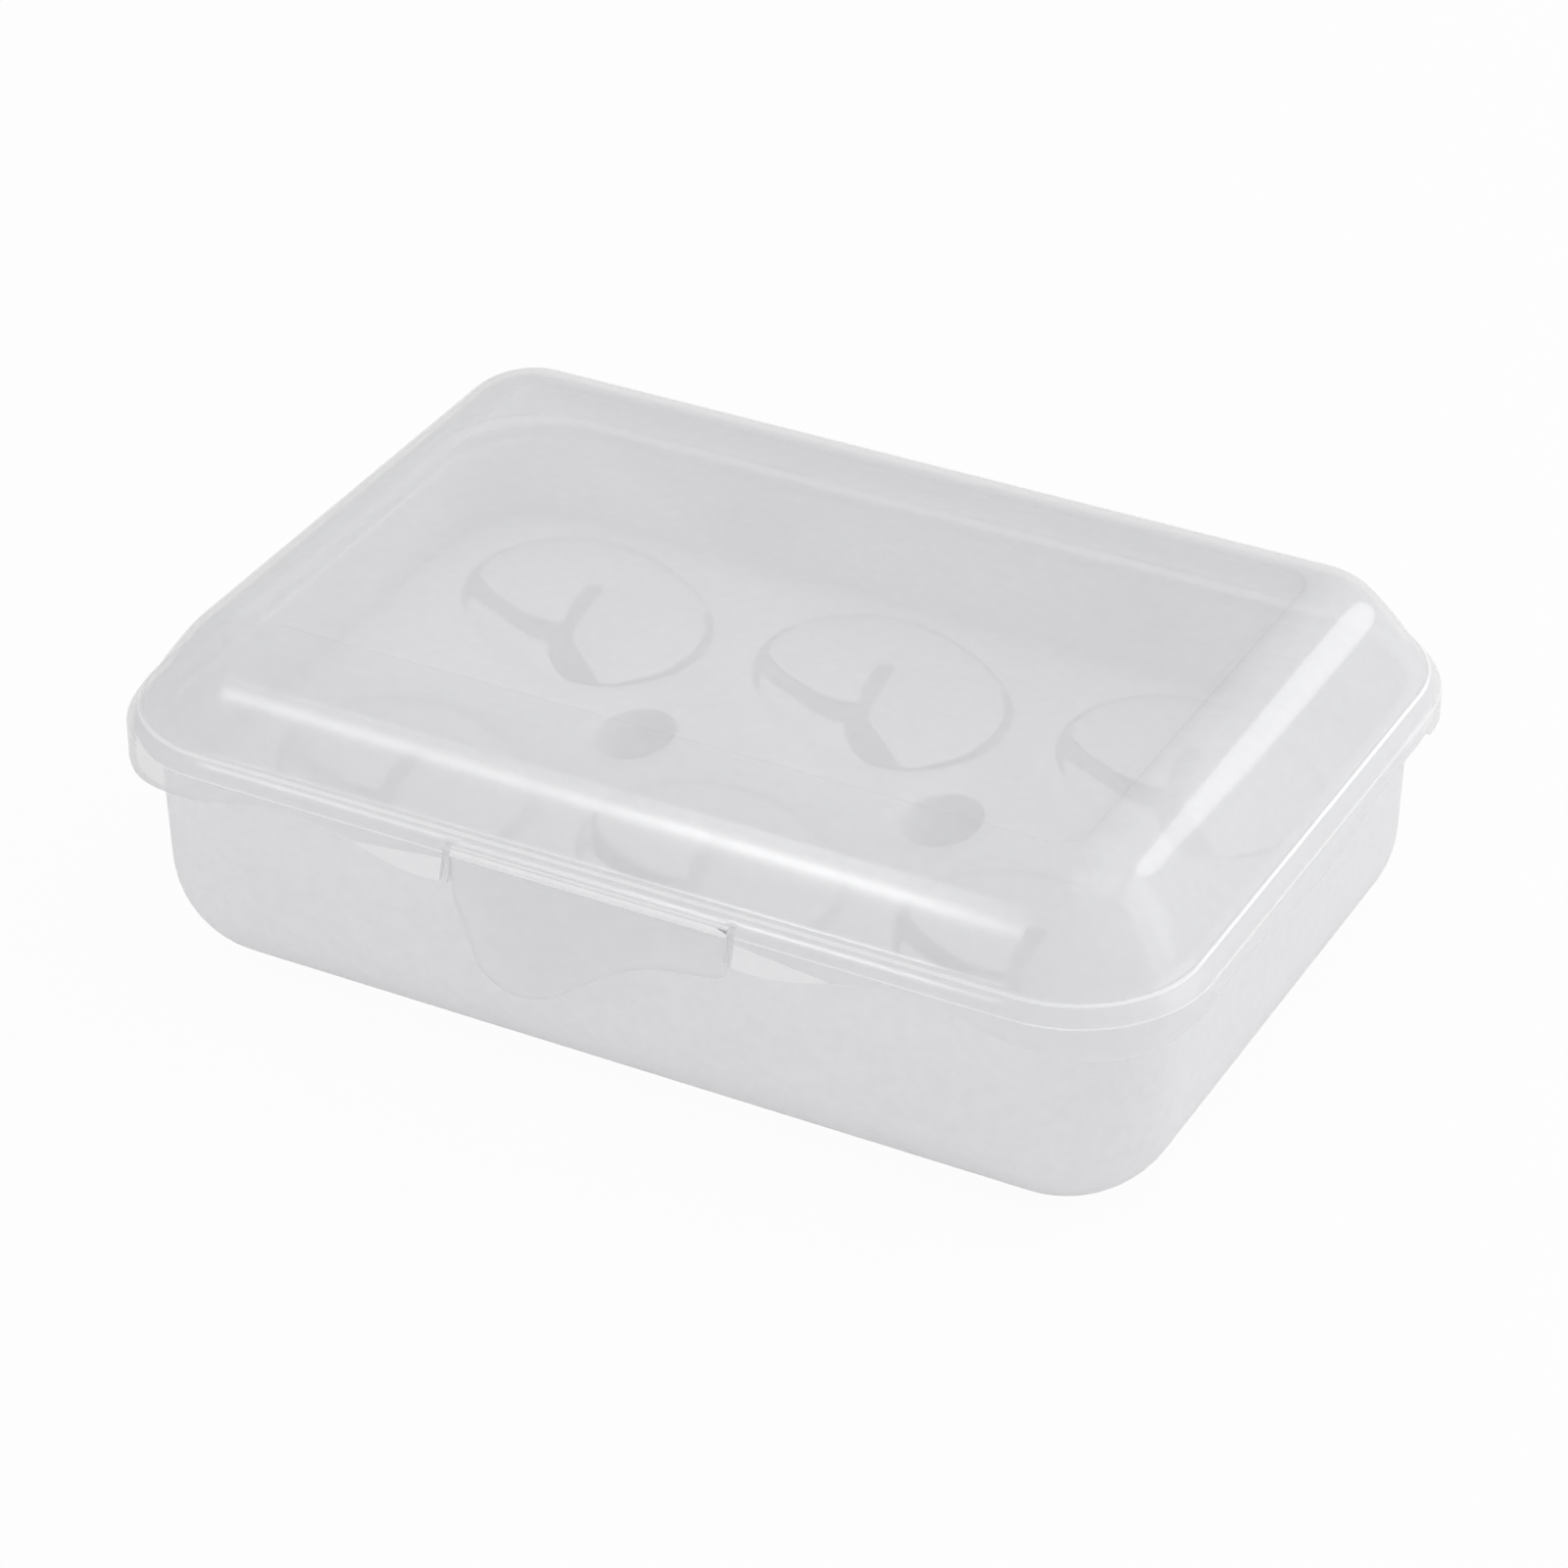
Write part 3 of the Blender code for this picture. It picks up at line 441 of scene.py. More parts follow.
for vertex in mesh.verts:
    x, y, z = vertex.co
    on_line = y < front and abs(z - facet_top_z(x)) < EDGE_ROUND / 100
    if on_line and 0 < abs(x) - CLASP_HALF_WIDTH < FACET_LENGTH:
        vertex.co.y = front
bmesh.update_edit_mesh(lid.data)
bpy.ops.object.mode_set(mode="OBJECT")

low_z = RIM_EDGE_Z - SKIRT_DROP - CUTTER_REACH
near_y, far_y = front - CUTTER_REACH, front + CUTTER_REACH
hinge_cut_z = CLASP_HINGE_Z + FILM_GAP / 2
half, outer = CLASP_HALF_WIDTH, CLASP_HALF_WIDTH + CLASP_SLOT
cut_away(lid, block((-half, near_y, low_z), (half, far_y, hinge_cut_z)))
cut_away(lid, block((-outer, near_y, low_z), (-half, far_y, CLASP_SLOT_TOP_Z)))
cut_away(lid, block((half, near_y, low_z), (outer, far_y, CLASP_SLOT_TOP_Z)))


def flat_piece(name, outline):
    """A filled circle whose rim is drawn out to an outline, left in edit mode with its face selected."""
    bpy.ops.object.select_all(action="DESELECT")
    bpy.ops.mesh.primitive_circle_add(vertices=len(outline), radius=1, fill_type="NGON")
    piece = bpy.context.object
    piece.name = piece.data.name = name
    for vertex, point in zip(piece.data.vertices, outline):
        vertex.co = point
    bpy.ops.object.mode_set(mode="EDIT")
    bpy.ops.mesh.select_all(action="SELECT")
    return piece


def draw_out(name, outline, depth):
    """A closed solid: an outline carried along a depth."""
    piece = flat_piece(name, outline)
    bpy.ops.mesh.extrude_region_move(TRANSFORM_OT_translate={"value": depth})
    bpy.ops.mesh.select_all(action="SELECT")
    bpy.ops.mesh.normals_make_consistent(inside=False)
    bpy.ops.object.mode_set(mode="OBJECT")
    return piece


hook_outer = HOOK_BORE + HOOK_WALL
hook_start = HOOK_MOUTH_CENTRE + HOOK_MOUTH / 2
turns = [hook_start + (2 * math.pi - HOOK_MOUTH) * step / HOOK_STEPS for step in range(HOOK_STEPS + 1)]
hook = [Vector((0, hook_outer * math.cos(a), hook_outer * math.sin(a))) for a in turns]
hook += [Vector((0, HOOK_BORE * math.cos(a), HOOK_BORE * math.sin(a))) for a in reversed(turns)]
skirt_y = LID_HALF_Y - LID_WALL / 2 - HINGE_Y
crown = HOOK_BORE + HOOK_WALL / 4
arm_top = RIM_EDGE_Z - EDGE_ROUND - HINGE_Z
arm = [
    Vector((0, skirt_y, crown)), Vector((0, HOOK_BORE, crown)), Vector((0, HOOK_BORE, HOOK_BORE + HOOK_WALL)),
    Vector((0, skirt_y + LID_WALL, arm_top)), Vector((0, skirt_y, arm_top)),
]
for side in (-1, 1):
    start = Vector((side * HINGE_X - HOOK_WIDTH / 2, HINGE_Y, HINGE_Z))
    for outline in (hook, arm):
        solid = draw_out("hook", [point + start for point in outline], (HOOK_WIDTH, 0, 0))
        apply_boolean(lid, solid, "UNION")
round_edges(lid, SKIRT_EDGE_ROUND, degrees=60)
smooth(lid, degrees=32)

# Moulded against polished steel: clear in the thin panel, and hazier where the wall is seen at a slant.
clear_skin = polypropylene(
    "polypropylene_clear_moulded", "#eaeaec", "#e7e7e9", alpha=0.6, roughness=0.1, depth_mm=0.0)
milkier_outside_panel(clear_skin, inside_alpha=0.38, outside_alpha=0.5)
let_light_through(clear_skin, share=0.25)
lid.data.materials.append(clear_skin)

# Painted highlight: a whiter, less clear copy of the same plastic, put on rims, cut edges, slot walls, facets
# and the hinge to stand in for the light that they catch.
painted_highlight_skin = polypropylene(
    "polypropylene_painted_highlight", "#f6f6f7", "#f3f3f5", alpha=0.85, roughness=0.2, depth_mm=0.0)
let_light_through(painted_highlight_skin, share=0.25)


def lid_gets_painted_highlight(face):
    """True on the faces that get the painted highlight: the thin rims, the slots' walls, the flared facets
    beside the clasp and the skirt's edge.
    """
    x, y, z = face.center
    at_rim = 0 < z - RIM_EDGE_Z < EDGE_ROUND or 0 < LEDGE_Z - z < EDGE_ROUND
    past_slot = abs(x) - CLASP_HALF_WIDTH
    in_front = y < front + 2 * LID_WALL and z < CLASP_SLOT_TOP_Z
    in_slot = in_front and past_slot < 2 * CLASP_SLOT and abs(face.normal.x) > SLOT_FACING
    on_facet = in_front and y < front and 0 < past_slot < FACET_LENGTH and z < facet_top_z(x)
    on_skirt = z < RIM_EDGE_Z - EDGE_ROUND and abs(z - skirt_edge_z(x, y)) < 2 * SKIRT_EDGE_ROUND
    return at_rim or in_slot or on_facet or on_skirt


# Painted highlight on the lid's rims, slot walls, flared facets and skirt edge.
paint_highlight(lid, painted_highlight_skin, lid_gets_painted_highlight)
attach(lid, "lid")
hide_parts("lid_shell")


# Front clasp: the lopsided flap in the lid's window, moulded with it and hanging from a film hinge. Its lobe
# ends in a finger lip that curls outwards.
CLASP_LENGTH, CLASP_LIP_WIDTH, CLASP_LIP_FLARE = 0.0242, 0.0018, 0.0007
LIP_START_SHARE, LIP_EASE_Z_SHARE, LIP_EASE_X_SHARE, LIP_EDGE_SHARE = 0.65, 0.2, 0.25, 0.3
CLASP_EDGE_ROUND, CLASP_CURVE_STEPS, SIDE_FACING = 0.00035, 7, 0.8
FILM_THICKNESS, FILM_OVERLAP, FILM_CUTS = 0.0003, 0.0004, 8
RIB_PROUD, RIB_HALF_HEIGHT, RIB_ROUND = 0.0002, 0.00025, 0.00016
CLASP_OUTLINE_SHARES = (
    (-1.0, 0.20), (-0.975, 0.40), (-0.88, 0.66), (-0.80, 0.85), (-0.66, 0.963), (-0.50, 1.0),
    (-0.29, 0.94), (-0.08, 0.79), (0.12, 0.645), (0.27, 0.545), (0.43, 0.48), (0.62, 0.435),
    (0.86, 0.395), (0.96, 0.36), (1.0, 0.28),
)


def curve_through(points, steps):
    """Smooth open curve through the points, with steps between each two."""
    ends = [points[0] * 2 - points[1]] + points + [points[-1] * 2 - points[-2]]
    curve = []
    for a, b, c, d in zip(ends, ends[1:], ends[2:], ends[3:]):
        for step in range(steps):
            t = step / steps
            bend = (a * 2 - b * 5 + c * 4 - d) * t ** 2 + (b * 3 - a - c * 3 + d) * t ** 3
            curve.append((b * 2 + (c - a) * t + bend) / 2)
    return curve + [points[-1]]


clasp_top_z, film_top_z = CLASP_HINGE_Z - FILM_GAP / 2, CLASP_HINGE_Z + FILM_GAP / 2
corners = [Vector((x * half, 0, -z * CLASP_LENGTH)) for x, z in CLASP_OUTLINE_SHARES]
side_top = Vector((half, 0, 0))
outline = [side_top * -1] + curve_through(corners, CLASP_CURVE_STEPS) + [side_top]
hang = Vector((0, front, clasp_top_z))
clasp = flat_piece("clasp", [point + hang for point in reversed(outline)])
bpy.ops.mesh.inset(thickness=CLASP_LIP_WIDTH, depth=0, use_even_offset=True)
bpy.ops.mesh.select_all(action="SELECT")
bpy.ops.mesh.normals_make_consistent(inside=False)
bpy.ops.mesh.extrude_region_move(TRANSFORM_OT_translate={"value": (0, LID_WALL, 0)})
bpy.ops.mesh.select_all(action="SELECT")
bpy.ops.mesh.bisect(plane_co=(0, 0, RIM_EDGE_Z), plane_no=(0, 0, 1))
bpy.ops.mesh.select_all(action="SELECT")
bpy.ops.mesh.normals_make_consistent(inside=False)
mesh = bmesh.from_edit_mesh(clasp.data)
lip_top_z = clasp_top_z - LIP_START_SHARE * CLASP_LENGTH
for vertex in mesh.verts:
    spot = vertex.co
    if spot.z > RIM_EDGE_Z:
        spot.y += (spot.z - RIM_EDGE_Z) * math.tan(band_lean)
    near_rim = min((point + hang - spot).xz.length for point in outline)
    if spot.z < lip_top_z and spot.x < 0 and near_rim < CLASP_LIP_WIDTH * LIP_EDGE_SHARE:
        down = min(1, (lip_top_z - spot.z) / (CLASP_LENGTH * LIP_EASE_Z_SHARE))
        depth = down * min(1, -spot.x / (half * LIP_EASE_X_SHARE))
        spot.y -= CLASP_LIP_FLARE * depth
bmesh.update_edit_mesh(clasp.data)
bpy.ops.object.mode_set(mode="OBJECT")
round_edges(clasp, CLASP_EDGE_ROUND, degrees=50)
smooth(clasp, degrees=40)
clasp.data.materials.append(clear_skin)
# Painted highlight on the clasp's side faces.
paint_highlight(clasp, painted_highlight_skin, lambda face: abs(face.normal.y) < SIDE_FACING)
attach(clasp, "clasp")
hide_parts("front_clasp")

film_low, film_high = clasp_top_z - FILM_OVERLAP, film_top_z + FILM_OVERLAP
film_y = front + (CLASP_HINGE_Z - RIM_EDGE_Z) * math.tan(band_lean) + FILM_THICKNESS / 10
film = block((-half, film_y, film_low), (half, film_y + FILM_THICKNESS, film_high))
film.name = film.data.name = "clasp_film"
bpy.ops.object.mode_set(mode="EDIT")
select_edges(film, lambda edge: abs(edge.verts[0].co.z - edge.verts[1].co.z) > HAIR)
bpy.ops.mesh.subdivide(number_cuts=FILM_CUTS)
bpy.ops.object.mode_set(mode="OBJECT")
for vertex in film.data.vertices:
    vertex.co.y += (vertex.co.z - CLASP_HINGE_Z) * math.tan(band_lean)
smooth(film, degrees=40)
# Painted highlight: the film wears the whiter skin, for the bright line along the hinge.
film.data.materials.append(painted_highlight_skin)
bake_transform(film)

for name, body, z in (("hinge_rib_lid", "lid", film_high), ("hinge_rib_clasp", "clasp", film_low)):
    rib_y = front + (z - RIM_EDGE_Z) * math.tan(band_lean)
    low_z, high_z = z - RIB_HALF_HEIGHT, z + RIB_HALF_HEIGHT
    rib = block((-half, rib_y - RIB_PROUD, low_z), (half, rib_y + RIB_PROUD, high_z))
    rib.name = rib.data.name = name
    round_edges(rib, RIB_ROUND, degrees=60, segments=3)
    smooth(rib, degrees=40)
    # Painted highlight: the ribs wear the whiter skin, as the bright lines along the hinge.
    rib.data.materials.append(painted_highlight_skin)
    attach(rib, body)


# Tub: one injection moulding of milky natural polypropylene, 1.3 mm thick. Upright walls, a large bottom
# radius, and a flange that turns down under the lid's band; behind, four ears hold the two hinge pins.
TUB_SETBACK, TUB_CORNER, TUB_DRAFT, TUB_WALL = 0.0046, 0.0210, 0.0008, 0.0013
FLOOR_RADIUS = 0.0192
LIP_INSET, LIP_THICKNESS, LIP_Z, FLANGE_ROOT_Z, FLANGE_TOP_Z = 0.0017, 0.0012, 0.0446, 0.0465, 0.0479
REBATE, REBATE_DEPTH = 0.0004, 0.0034
LIP_SHOULDER_Z = 0.0458
PIN_RADIUS, EAR_RADIUS, EAR_THICKNESS, EAR_REACH, ROD_SIDES = 0.0014, 0.0022, 0.002, 0.005, 40
FLOOR_STEPS, INNER_FLOOR_STEPS, LEVEL_FACING = 14, 12, 0.9

lip_x, lip_y = LID_HALF_X - LIP_INSET, LID_HALF_Y - LIP_INSET
wall_x, wall_y = LID_HALF_X - TUB_SETBACK, LID_HALF_Y - TUB_SETBACK
tub = start_cube("tub", lip_x, lip_y, LIP_Z, LIP_SHOULDER_Z, LID_CORNER - LIP_INSET, CORNER_STEPS, 1, 1)
select_cap(tub, -1)
follow_profile([(0, LIP_Z), (LIP_THICKNESS, LIP_Z), (TUB_SETBACK - LIP_INSET, FLANGE_ROOT_Z)], -1)
redraw_corners(tub, lid_core, wall_x, wall_y, TUB_CORNER)
follow_profile(
    [(0, FLANGE_ROOT_Z), (TUB_DRAFT, FLOOR_RADIUS)]
    + arc(TUB_DRAFT + FLOOR_RADIUS, FLOOR_RADIUS, FLOOR_RADIUS, 90, 180, FLOOR_STEPS)[1:],
    -1,
)
select_cap(tub, 1)
mouth_inset = TUB_WALL - REBATE
flange_slope = (FLANGE_TOP_Z - LIP_SHOULDER_Z) * math.tan(band_lean)
flange_inner = TUB_SETBACK - LIP_INSET + mouth_inset
follow_profile([(0, LIP_SHOULDER_Z), (flange_slope, FLANGE_TOP_Z), (flange_inner, FLANGE_TOP_Z)], 1)
redraw_corners(tub, lid_core, wall_x - mouth_inset, wall_y - mouth_inset, TUB_CORNER - mouth_inset)
follow_profile(
    [(mouth_inset, FLANGE_TOP_Z), (mouth_inset, FLANGE_TOP_Z - REBATE_DEPTH + REBATE)]
    + [(TUB_WALL, FLANGE_TOP_Z - REBATE_DEPTH), (TUB_WALL + TUB_DRAFT, FLOOR_RADIUS)]
    + arc(TUB_DRAFT + FLOOR_RADIUS, FLOOR_RADIUS, FLOOR_RADIUS - TUB_WALL, 90, 180, INNER_FLOOR_STEPS)[1:],
    1,
)
bpy.ops.object.mode_set(mode="OBJECT")


def rod(x_low, x_high, y, z, radius):
    """A round bar along X."""
    bpy.ops.object.select_all(action="DESELECT")
    bpy.ops.mesh.primitive_cylinder_add(
        vertices=ROD_SIDES, radius=radius, depth=x_high - x_low, location=((x_low + x_high) / 2, y, z),
        rotation=(0, math.pi / 2, 0),
    )
    bpy.ops.object.transform_apply(location=True, rotation=True, scale=True)
    return bpy.context.object


for side in (-1, 1):
    for place in (-1, 1):
        middle = side * HINGE_X + place * (EAR_REACH + EAR_THICKNESS / 2)
        low_x, high_x = middle - EAR_THICKNESS / 2, middle + EAR_THICKNESS / 2
        ear_y, low_z, high_z = wall_y - TUB_WALL / 2, HINGE_Z - EAR_RADIUS, HINGE_Z + EAR_RADIUS
        apply_boolean(tub, block((low_x, ear_y, low_z), (high_x, HINGE_Y, high_z)), "UNION")
        apply_boolean(tub, rod(low_x, high_x, HINGE_Y, HINGE_Z, EAR_RADIUS), "UNION")
    pin_end = EAR_REACH + EAR_THICKNESS / 2
    pin = rod(side * HINGE_X - pin_end, side * HINGE_X + pin_end, HINGE_Y, HINGE_Z, PIN_RADIUS)
    apply_boolean(tub, pin, "UNION")
smooth(tub, degrees=32)

# Moulded against blasted steel: a fine matt grain outside, and milky, as light spreads some 3 mm in it.
milky_skin = polypropylene(
    "polypropylene_milky_moulded", "#eaeaec", "#e6e6e9", alpha=0.9, roughness=0.3, depth_mm=3.0)
let_light_through(milky_skin, share=0.6)
tub.data.materials.append(milky_skin)
flange_z = FLANGE_TOP_Z - EDGE_ROUND
# Painted highlight on the flange's level top faces, which look up.
paint_highlight(tub, painted_highlight_skin, lambda face: face.normal.z > LEVEL_FACING and face.center.z > flange_z)
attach(tub, "tub")
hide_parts("base_tub")


# Egg tray: a loose insert moulded in the same milky plastic. A level plate with a turned-down edge, six
# open cup mouths and two hollow oval legs that stand on the tub's floor.
TRAY_TOP_Z, TRAY_PLATE, TRAY_EDGE_DEPTH, TRAY_EDGE_ROUND = 0.0297, 0.0012, 0.0025, 0.0004
TRAY_END_GAP, TRAY_SIDE_GAP = 0.0006, 0.0015
CUP_PITCH_X, CUP_PITCH_Y = 0.060, 0.063
MOUTH_RADIUS, MOUTH_OVAL_SHARE, MOUTH_LEAN = 0.0240, 0.15, math.radians(-33.0)
MOUTH_SHIFT = Vector((0.0016, 0.0012, 0))
MOUTH_STEPS, LEG_STEPS, TRAY_CORNER_STEPS, TRAY_EDGE_STEPS = 96, 48, 12, 4
LEG_HALF_X, LEG_HALF_Y, LEG_TAPER, LEG_WALL, LEG_FLOOR_GAP = 0.008, 0.010, 0.0008, 0.0012, 0.0003
PLATE_EDGE_ROUND = 0.0001


def mouth_point(angle, inset=0.0):
    """Point of a cup mouth's edge in a direction from the cup's middle: an oval that leans."""
    reach = MOUTH_RADIUS * (1 + MOUTH_OVAL_SHARE * math.cos(2 * (angle - MOUTH_LEAN))) - inset
    return MOUTH_SHIFT + Vector((math.cos(angle), math.sin(angle), 0)) * reach


def turned_wall(name, centre, half_x, half_y, low_z, high_z, taper):
    """A closed oval cone frustum for a leg or its bore."""
    bpy.ops.object.select_all(action="DESELECT")
    bpy.ops.mesh.primitive_cone_add(vertices=LEG_STEPS, radius1=1 - taper / half_x, radius2=1, depth=1)
    cone = bpy.context.object
    cone.name = name
    cone.scale = (half_x, half_y, high_z - low_z)
    cone.location = (centre.x, centre.y, (low_z + high_z) / 2)
    bpy.ops.object.transform_apply(location=True, rotation=True, scale=True)
    return cone


under_z = TRAY_TOP_Z - TRAY_PLATE
tray_wall = TUB_WALL + TUB_DRAFT * (FLANGE_ROOT_Z - TRAY_TOP_Z) / (FLANGE_ROOT_Z - FLOOR_RADIUS)
tray_low_z, tray_round_z = TRAY_TOP_Z - TRAY_EDGE_DEPTH, TRAY_TOP_Z - TRAY_EDGE_ROUND
tray = start_cube(
    "tray", wall_x - tray_wall - TRAY_END_GAP, wall_y - tray_wall - TRAY_SIDE_GAP, tray_low_z, tray_round_z,
    TUB_CORNER - tray_wall - TRAY_SIDE_GAP, TRAY_CORNER_STEPS, 1, 1,
)
select_cap(tray, 1)
edge_arc = arc(TRAY_EDGE_ROUND, tray_round_z, TRAY_EDGE_ROUND, 90, 0, TRAY_EDGE_STEPS)
follow_profile([(0, tray_round_z)] + edge_arc[1:], 1)
select_cap(tray, -1)
follow_profile([(0, tray_low_z), (TRAY_PLATE, tray_low_z), (TRAY_PLATE, under_z)], -1)
bpy.ops.object.mode_set(mode="OBJECT")

cups = {
    f"{column + 1}{'ab'[row]}": Vector(((column - 1) * CUP_PITCH_X, (row - 0.5) * CUP_PITCH_Y, 0))
    for column in range(3) for row in range(2)
}
mouth_angles = [2 * math.pi * step / MOUTH_STEPS for step in range(MOUTH_STEPS)]
for cup, centre in cups.items():
    low = centre + Vector((0, 0, under_z - CUTTER_REACH))
    mouth = [mouth_point(angle) + low for angle in mouth_angles]
    cut_away(tray, draw_out("mouth_cutter", mouth, (0, 0, TRAY_PLATE + 2 * CUTTER_REACH)))
foot_z = TUB_WALL + LEG_FLOOR_GAP
for side in (-1, 1):
    centre = Vector((side * CUP_PITCH_X / 2, 0, 0))
    leg = turned_wall("leg", centre, LEG_HALF_X, LEG_HALF_Y, foot_z, under_z + TRAY_PLATE / 2, LEG_TAPER)
    apply_boolean(tray, leg, "UNION")
    bore_x, bore_y = LEG_HALF_X - LEG_WALL, LEG_HALF_Y - LEG_WALL
    cut_away(tray, turned_wall(
        "leg_bore", centre, bore_x, bore_y, foot_z + LEG_WALL, TRAY_TOP_Z + CUTTER_REACH, LEG_TAPER))
round_edges(tray, PLATE_EDGE_ROUND, degrees=50)
smooth(tray, degrees=35)

# Moulded against plain steel: a satin, milky plate that still lets much of the light through. Its colour is
# painted lighter than the tub's, to make up for the shade inside the tub.
tray_skin_painted_lighter = polypropylene(
    "polypropylene_milky_tray_painted_lighter", "#f5f5f6", "#f1f1f3", alpha=0.88, roughness=0.34, depth_mm=0.0)
let_light_through(tray_skin_painted_lighter, share=0.06)
tray.data.materials.append(tray_skin_painted_lighter)
rim_z = under_z - TRAY_PLATE
# Painted highlight on the plate's upright faces near its top: its rounded edge and the mouths' cut walls.
paint_highlight(tray, painted_highlight_skin, lambda face: abs(face.normal.z) < LEVEL_FACING and face.center.z > rim_z)
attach(tray, "tray")
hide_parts("egg_tray")


# Petals: three thin leaves close each cup round a Y-shaped slot, moulded with the plate and joined to it at
# their roots. They lie level, and give way when an egg is pushed in. Their cut edges get a painted highlight.
PETAL_THICKNESS, PETAL_GAP, PETAL_ROUND = 0.0009, 0.00003, 0.00005
PETAL_ARC_STEPS, PETAL_CURVE_STEPS = 24, 5
PETAL_ARCS_DEG = {"left": (100.2, 150.0), "front": (207.0, 299.0), "right": (28.0, 100.2)}
PETAL_EDGE_SHARES = {
    "left": (
        (-1.0, 0.52), (-1.04, 0.40), (-1.045, 0.26), (-1.0, 0.11), (-0.95, 0.06), (-0.79, -0.06),
        (-0.57, -0.16), (-0.33, -0.24), (-0.10, -0.21), (-0.16, 0.0), (-0.20, 0.32), (-0.19, 0.35),
        (-0.13, 0.37),
    ),
    "front": (
        (0.53, -0.92), (0.37, -0.93), (0.20, -0.83), (0.06, -0.68), (-0.04, -0.53), (-0.07, -0.51),
        (-0.24, -0.50), (-0.56, -0.36), (-0.78, -0.26), (-0.89, -0.20), (-0.87, -0.30), (-0.82, -0.40),
    ),
    "right": (
        (-0.13, 0.37), (-0.08, 0.365), (-0.06, 0.34), (-0.02, 0.06), (0.07, -0.34), (0.22, -0.51),
        (0.41, -0.68), (0.61, -0.85), (0.78, -0.71), (0.92, -0.50), (0.97, -0.27), (0.98, -0.06),
        (0.92, 0.18), (0.81, 0.35),
    ),
}

for place, (first, last) in PETAL_ARCS_DEG.items():
    turns = [first + (last - first) * step / PETAL_ARC_STEPS for step in range(PETAL_ARC_STEPS + 1)]
    leaf = [mouth_point(math.radians(turn), PETAL_GAP) for turn in turns]
    shares = [MOUTH_SHIFT + Vector((x, y, 0)) * MOUTH_RADIUS for x, y in PETAL_EDGE_SHARES[place]]
    leaf += curve_through(shares, PETAL_CURVE_STEPS)
    for cup, centre in cups.items():
        start = centre + Vector((0, 0, under_z))
        petal = draw_out(f"leaf_{cup}_{place}", [point + start for point in leaf], (0, 0, PETAL_THICKNESS))
        round_edges(petal, PETAL_ROUND, degrees=50)
        smooth(petal, degrees=35)
        petal.data.materials.append(tray_skin_painted_lighter)
        # Painted highlight on the petals' cut edges.
        paint_highlight(petal, painted_highlight_skin, lambda face: abs(face.normal.z) < LEVEL_FACING)
        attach(petal, f"leaf_{cup}_{place}")
        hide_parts(f"petal_{cup}_{place}")


# Table: a plain white matt sheet. It looks white to the camera, partly so in the box's gloss, and keeps a
# faint shadow of the box.
TABLE_SIZE, TABLE_GLOW, TABLE_GLOW_IN_GLOSS = 6, 0.96, 0.3


def seen_directly(owner, in_gloss=1.0):
    """1 where a surface is seen straight or through clear plastic, in_gloss in gloss, 0 where it lights."""
    ray = add_node(owner, "ShaderNodeLightPath")
    gloss = add_node(owner, "ShaderNodeMath", {"operation": "MULTIPLY"})
    owner.node_tree.links.new(ray.outputs["Is Glossy Ray"], gloss.inputs[0])
    gloss.inputs[1].default_value = in_gloss
    either = ray.outputs["Is Camera Ray"]
    for other in (gloss.outputs[0], ray.outputs["Is Transmission Ray"]):
        largest = add_node(owner, "ShaderNodeMath", {"operation": "MAXIMUM"})
        owner.node_tree.links.new(either, largest.inputs[0])
        owner.node_tree.links.new(other, largest.inputs[1])
        either = largest.outputs[0]
    return either


bpy.ops.object.select_all(action="DESELECT")
bpy.ops.mesh.primitive_plane_add(size=TABLE_SIZE)
table = bpy.context.object
table.name = "table"
white = bpy.data.materials.new("white_table")
white.use_nodes = True
shader = white.node_tree.nodes["Principled BSDF"]
shader.inputs["Base Color"].default_value = linear("#f8f8f8")
shader.inputs["Roughness"].default_value = 0.9
output = white.node_tree.nodes["Material Output"]
seen = add_node(white, "ShaderNodeMath", {"operation": "MULTIPLY"})
white.node_tree.links.new(seen_directly(white, TABLE_GLOW_IN_GLOSS), seen.inputs[0])
seen.inputs[1].default_value = TABLE_GLOW
glow = add_node(white, "ShaderNodeEmission", {"Color": linear("#fefefe"), "Strength": 1.0})
mix = add_node(white, "ShaderNodeMixShader", Fac=seen.outputs[0])
white.node_tree.links.new(shader.outputs[0], mix.inputs[1])
white.node_tree.links.new(glow.outputs[0], mix.inputs[2])
white.node_tree.links.new(mix.outputs[0], output.inputs["Surface"])
table.data.materials.append(white)


# Light: an even white room, a low strip at the front left, and soft boxes behind, right, in front and above.
# The camera sees the room as plain white.
ROOM_STRENGTH = 0.63
MIDDLE = (0, 0, 0.04)

world = bpy.data.worlds.new("white_room")
bpy.context.scene.world = world
world.use_nodes = True
room_light = world.node_tree.nodes["Background"]
room_light.inputs["Color"].default_value = linear("#fefefe")
room_light.inputs["Strength"].default_value = ROOM_STRENGTH
room_white = add_node(world, "ShaderNodeBackground", {"Color": linear("#fefefe"), "Strength": 1.0})
room_mix = add_node(world, "ShaderNodeMixShader", Fac=seen_directly(world))
world.node_tree.links.new(room_light.outputs[0], room_mix.inputs[1])
world.node_tree.links.new(room_white.outputs[0], room_mix.inputs[2])
world.node_tree.links.new(room_mix.outputs[0], world.node_tree.nodes["World Output"].inputs["Surface"])


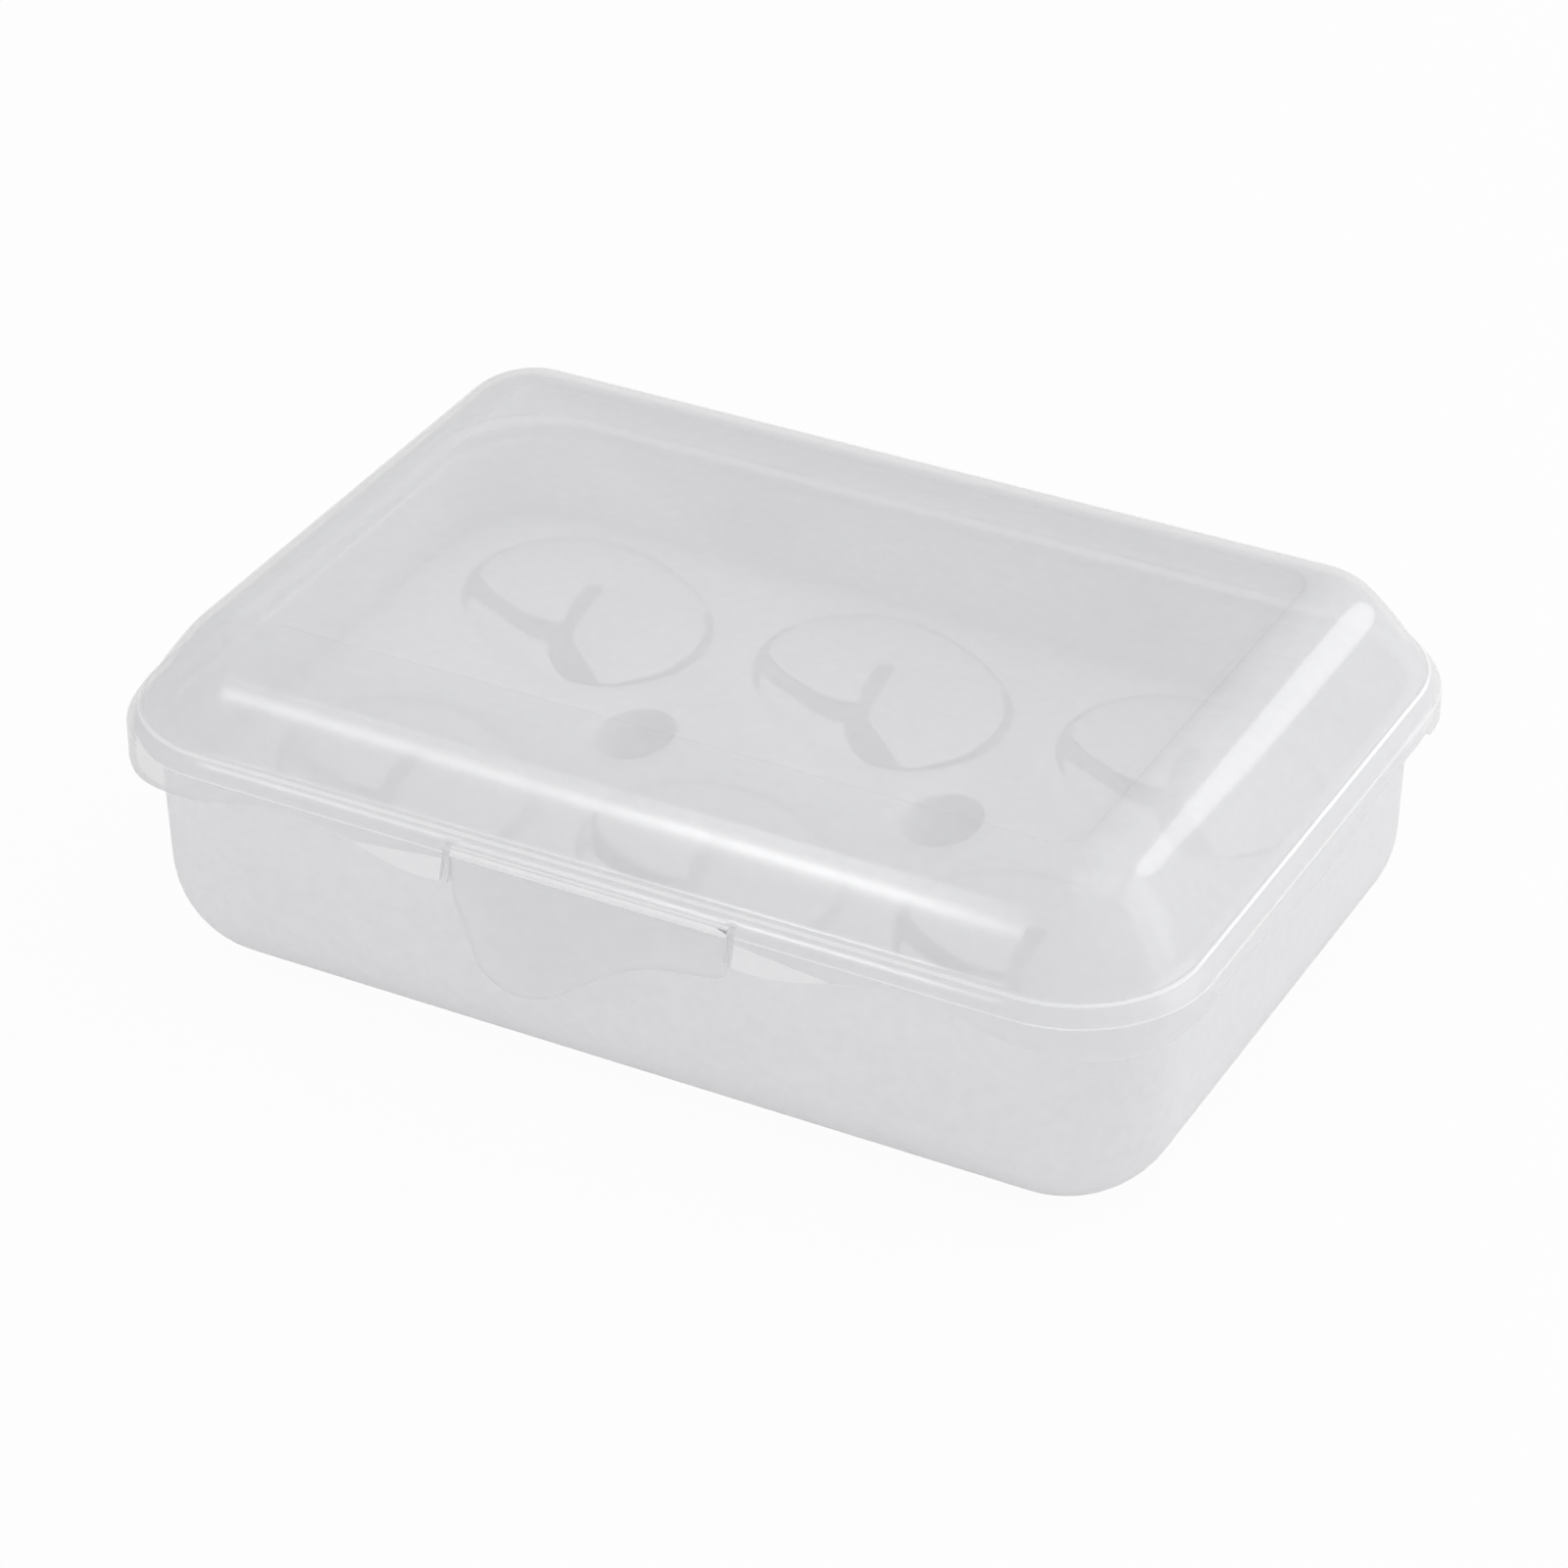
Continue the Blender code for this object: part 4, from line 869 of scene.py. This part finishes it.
def soft_box(name, place, size, watts, roll_deg=0.0):
    """A soft box that faces the middle of the box, with its first side level or turned a little."""
    lamp = bpy.data.objects.new(name, bpy.data.lights.new(name, "AREA"))
    lamp.data.shape = "RECTANGLE"
    lamp.data.size, lamp.data.size_y = size
    lamp.data.energy = watts
    lamp.location = place
    facing = (Vector(MIDDLE) - Vector(place)).to_track_quat("-Z", "Y").to_matrix()
    lamp.rotation_euler = (facing @ Matrix.Rotation(math.radians(roll_deg), 3, "Z")).to_euler()
    bpy.context.scene.collection.objects.link(lamp)


def far_out(azimuth, elevation, distance):
    """Place of a lamp at an angle from the front and above the table, round the middle of the box."""
    turn, rise = math.radians(azimuth), math.radians(elevation)
    level = math.cos(rise)
    return Vector((math.sin(turn) * level, -math.cos(turn) * level, math.sin(rise))) * distance


soft_box("strip_front_left", (-0.60, -1.075, 0.80), size=(0.38, 0.045), watts=0.6, roll_deg=9)
soft_box("strip_front_core", (-0.51, -1.09, 0.815), size=(0.13, 0.025), watts=0.15, roll_deg=9)
soft_box(
    "soft_box_back_right", far_out(azimuth=149, elevation=24.5, distance=1.4), size=(0.42, 0.50), watts=2.4)
soft_box("soft_box_right", far_out(azimuth=116, elevation=26, distance=2.0), size=(1.3, 1.0), watts=6.0)
soft_box("soft_box_front", far_out(azimuth=10, elevation=10, distance=2.0), size=(1.2, 0.5), watts=3.6)
soft_box("soft_box_above", (0.5, 0.1, 1.6), size=(1.2, 1.2), watts=4.2)


# Camera: a long lens in front of the right end and above the lid, at the photograph's angle. Its target and
# distance put the box where it is in the photograph's square frame.
AZIMUTH, ELEVATION, ROLL = math.radians(28.13), math.radians(32.69), math.radians(-0.34)
TARGET, DISTANCE, LENS_MM, FILM_MM = Vector((-0.01382, 0.02473, 0.00997)), 0.96519, 123.77, 36.0
back = Vector((
    math.sin(AZIMUTH) * math.cos(ELEVATION), -math.cos(AZIMUTH) * math.cos(ELEVATION), math.sin(ELEVATION),
))
level = (-back).cross(Vector((0, 0, 1))).normalized()
rise = level.cross(-back)
right = level * math.cos(ROLL) + rise * math.sin(ROLL)
up = rise * math.cos(ROLL) - level * math.sin(ROLL)
camera = bpy.data.objects.new("camera", bpy.data.cameras.new("camera"))
camera.data.lens, camera.data.sensor_width = LENS_MM, FILM_MM
facing = Matrix((right, up, back)).transposed().to_4x4()
camera.matrix_world = Matrix.Translation(TARGET + back * DISTANCE) @ facing
bpy.context.scene.collection.objects.link(camera)
bpy.context.scene.camera = camera
bpy.context.scene.view_settings.view_transform = "Standard"
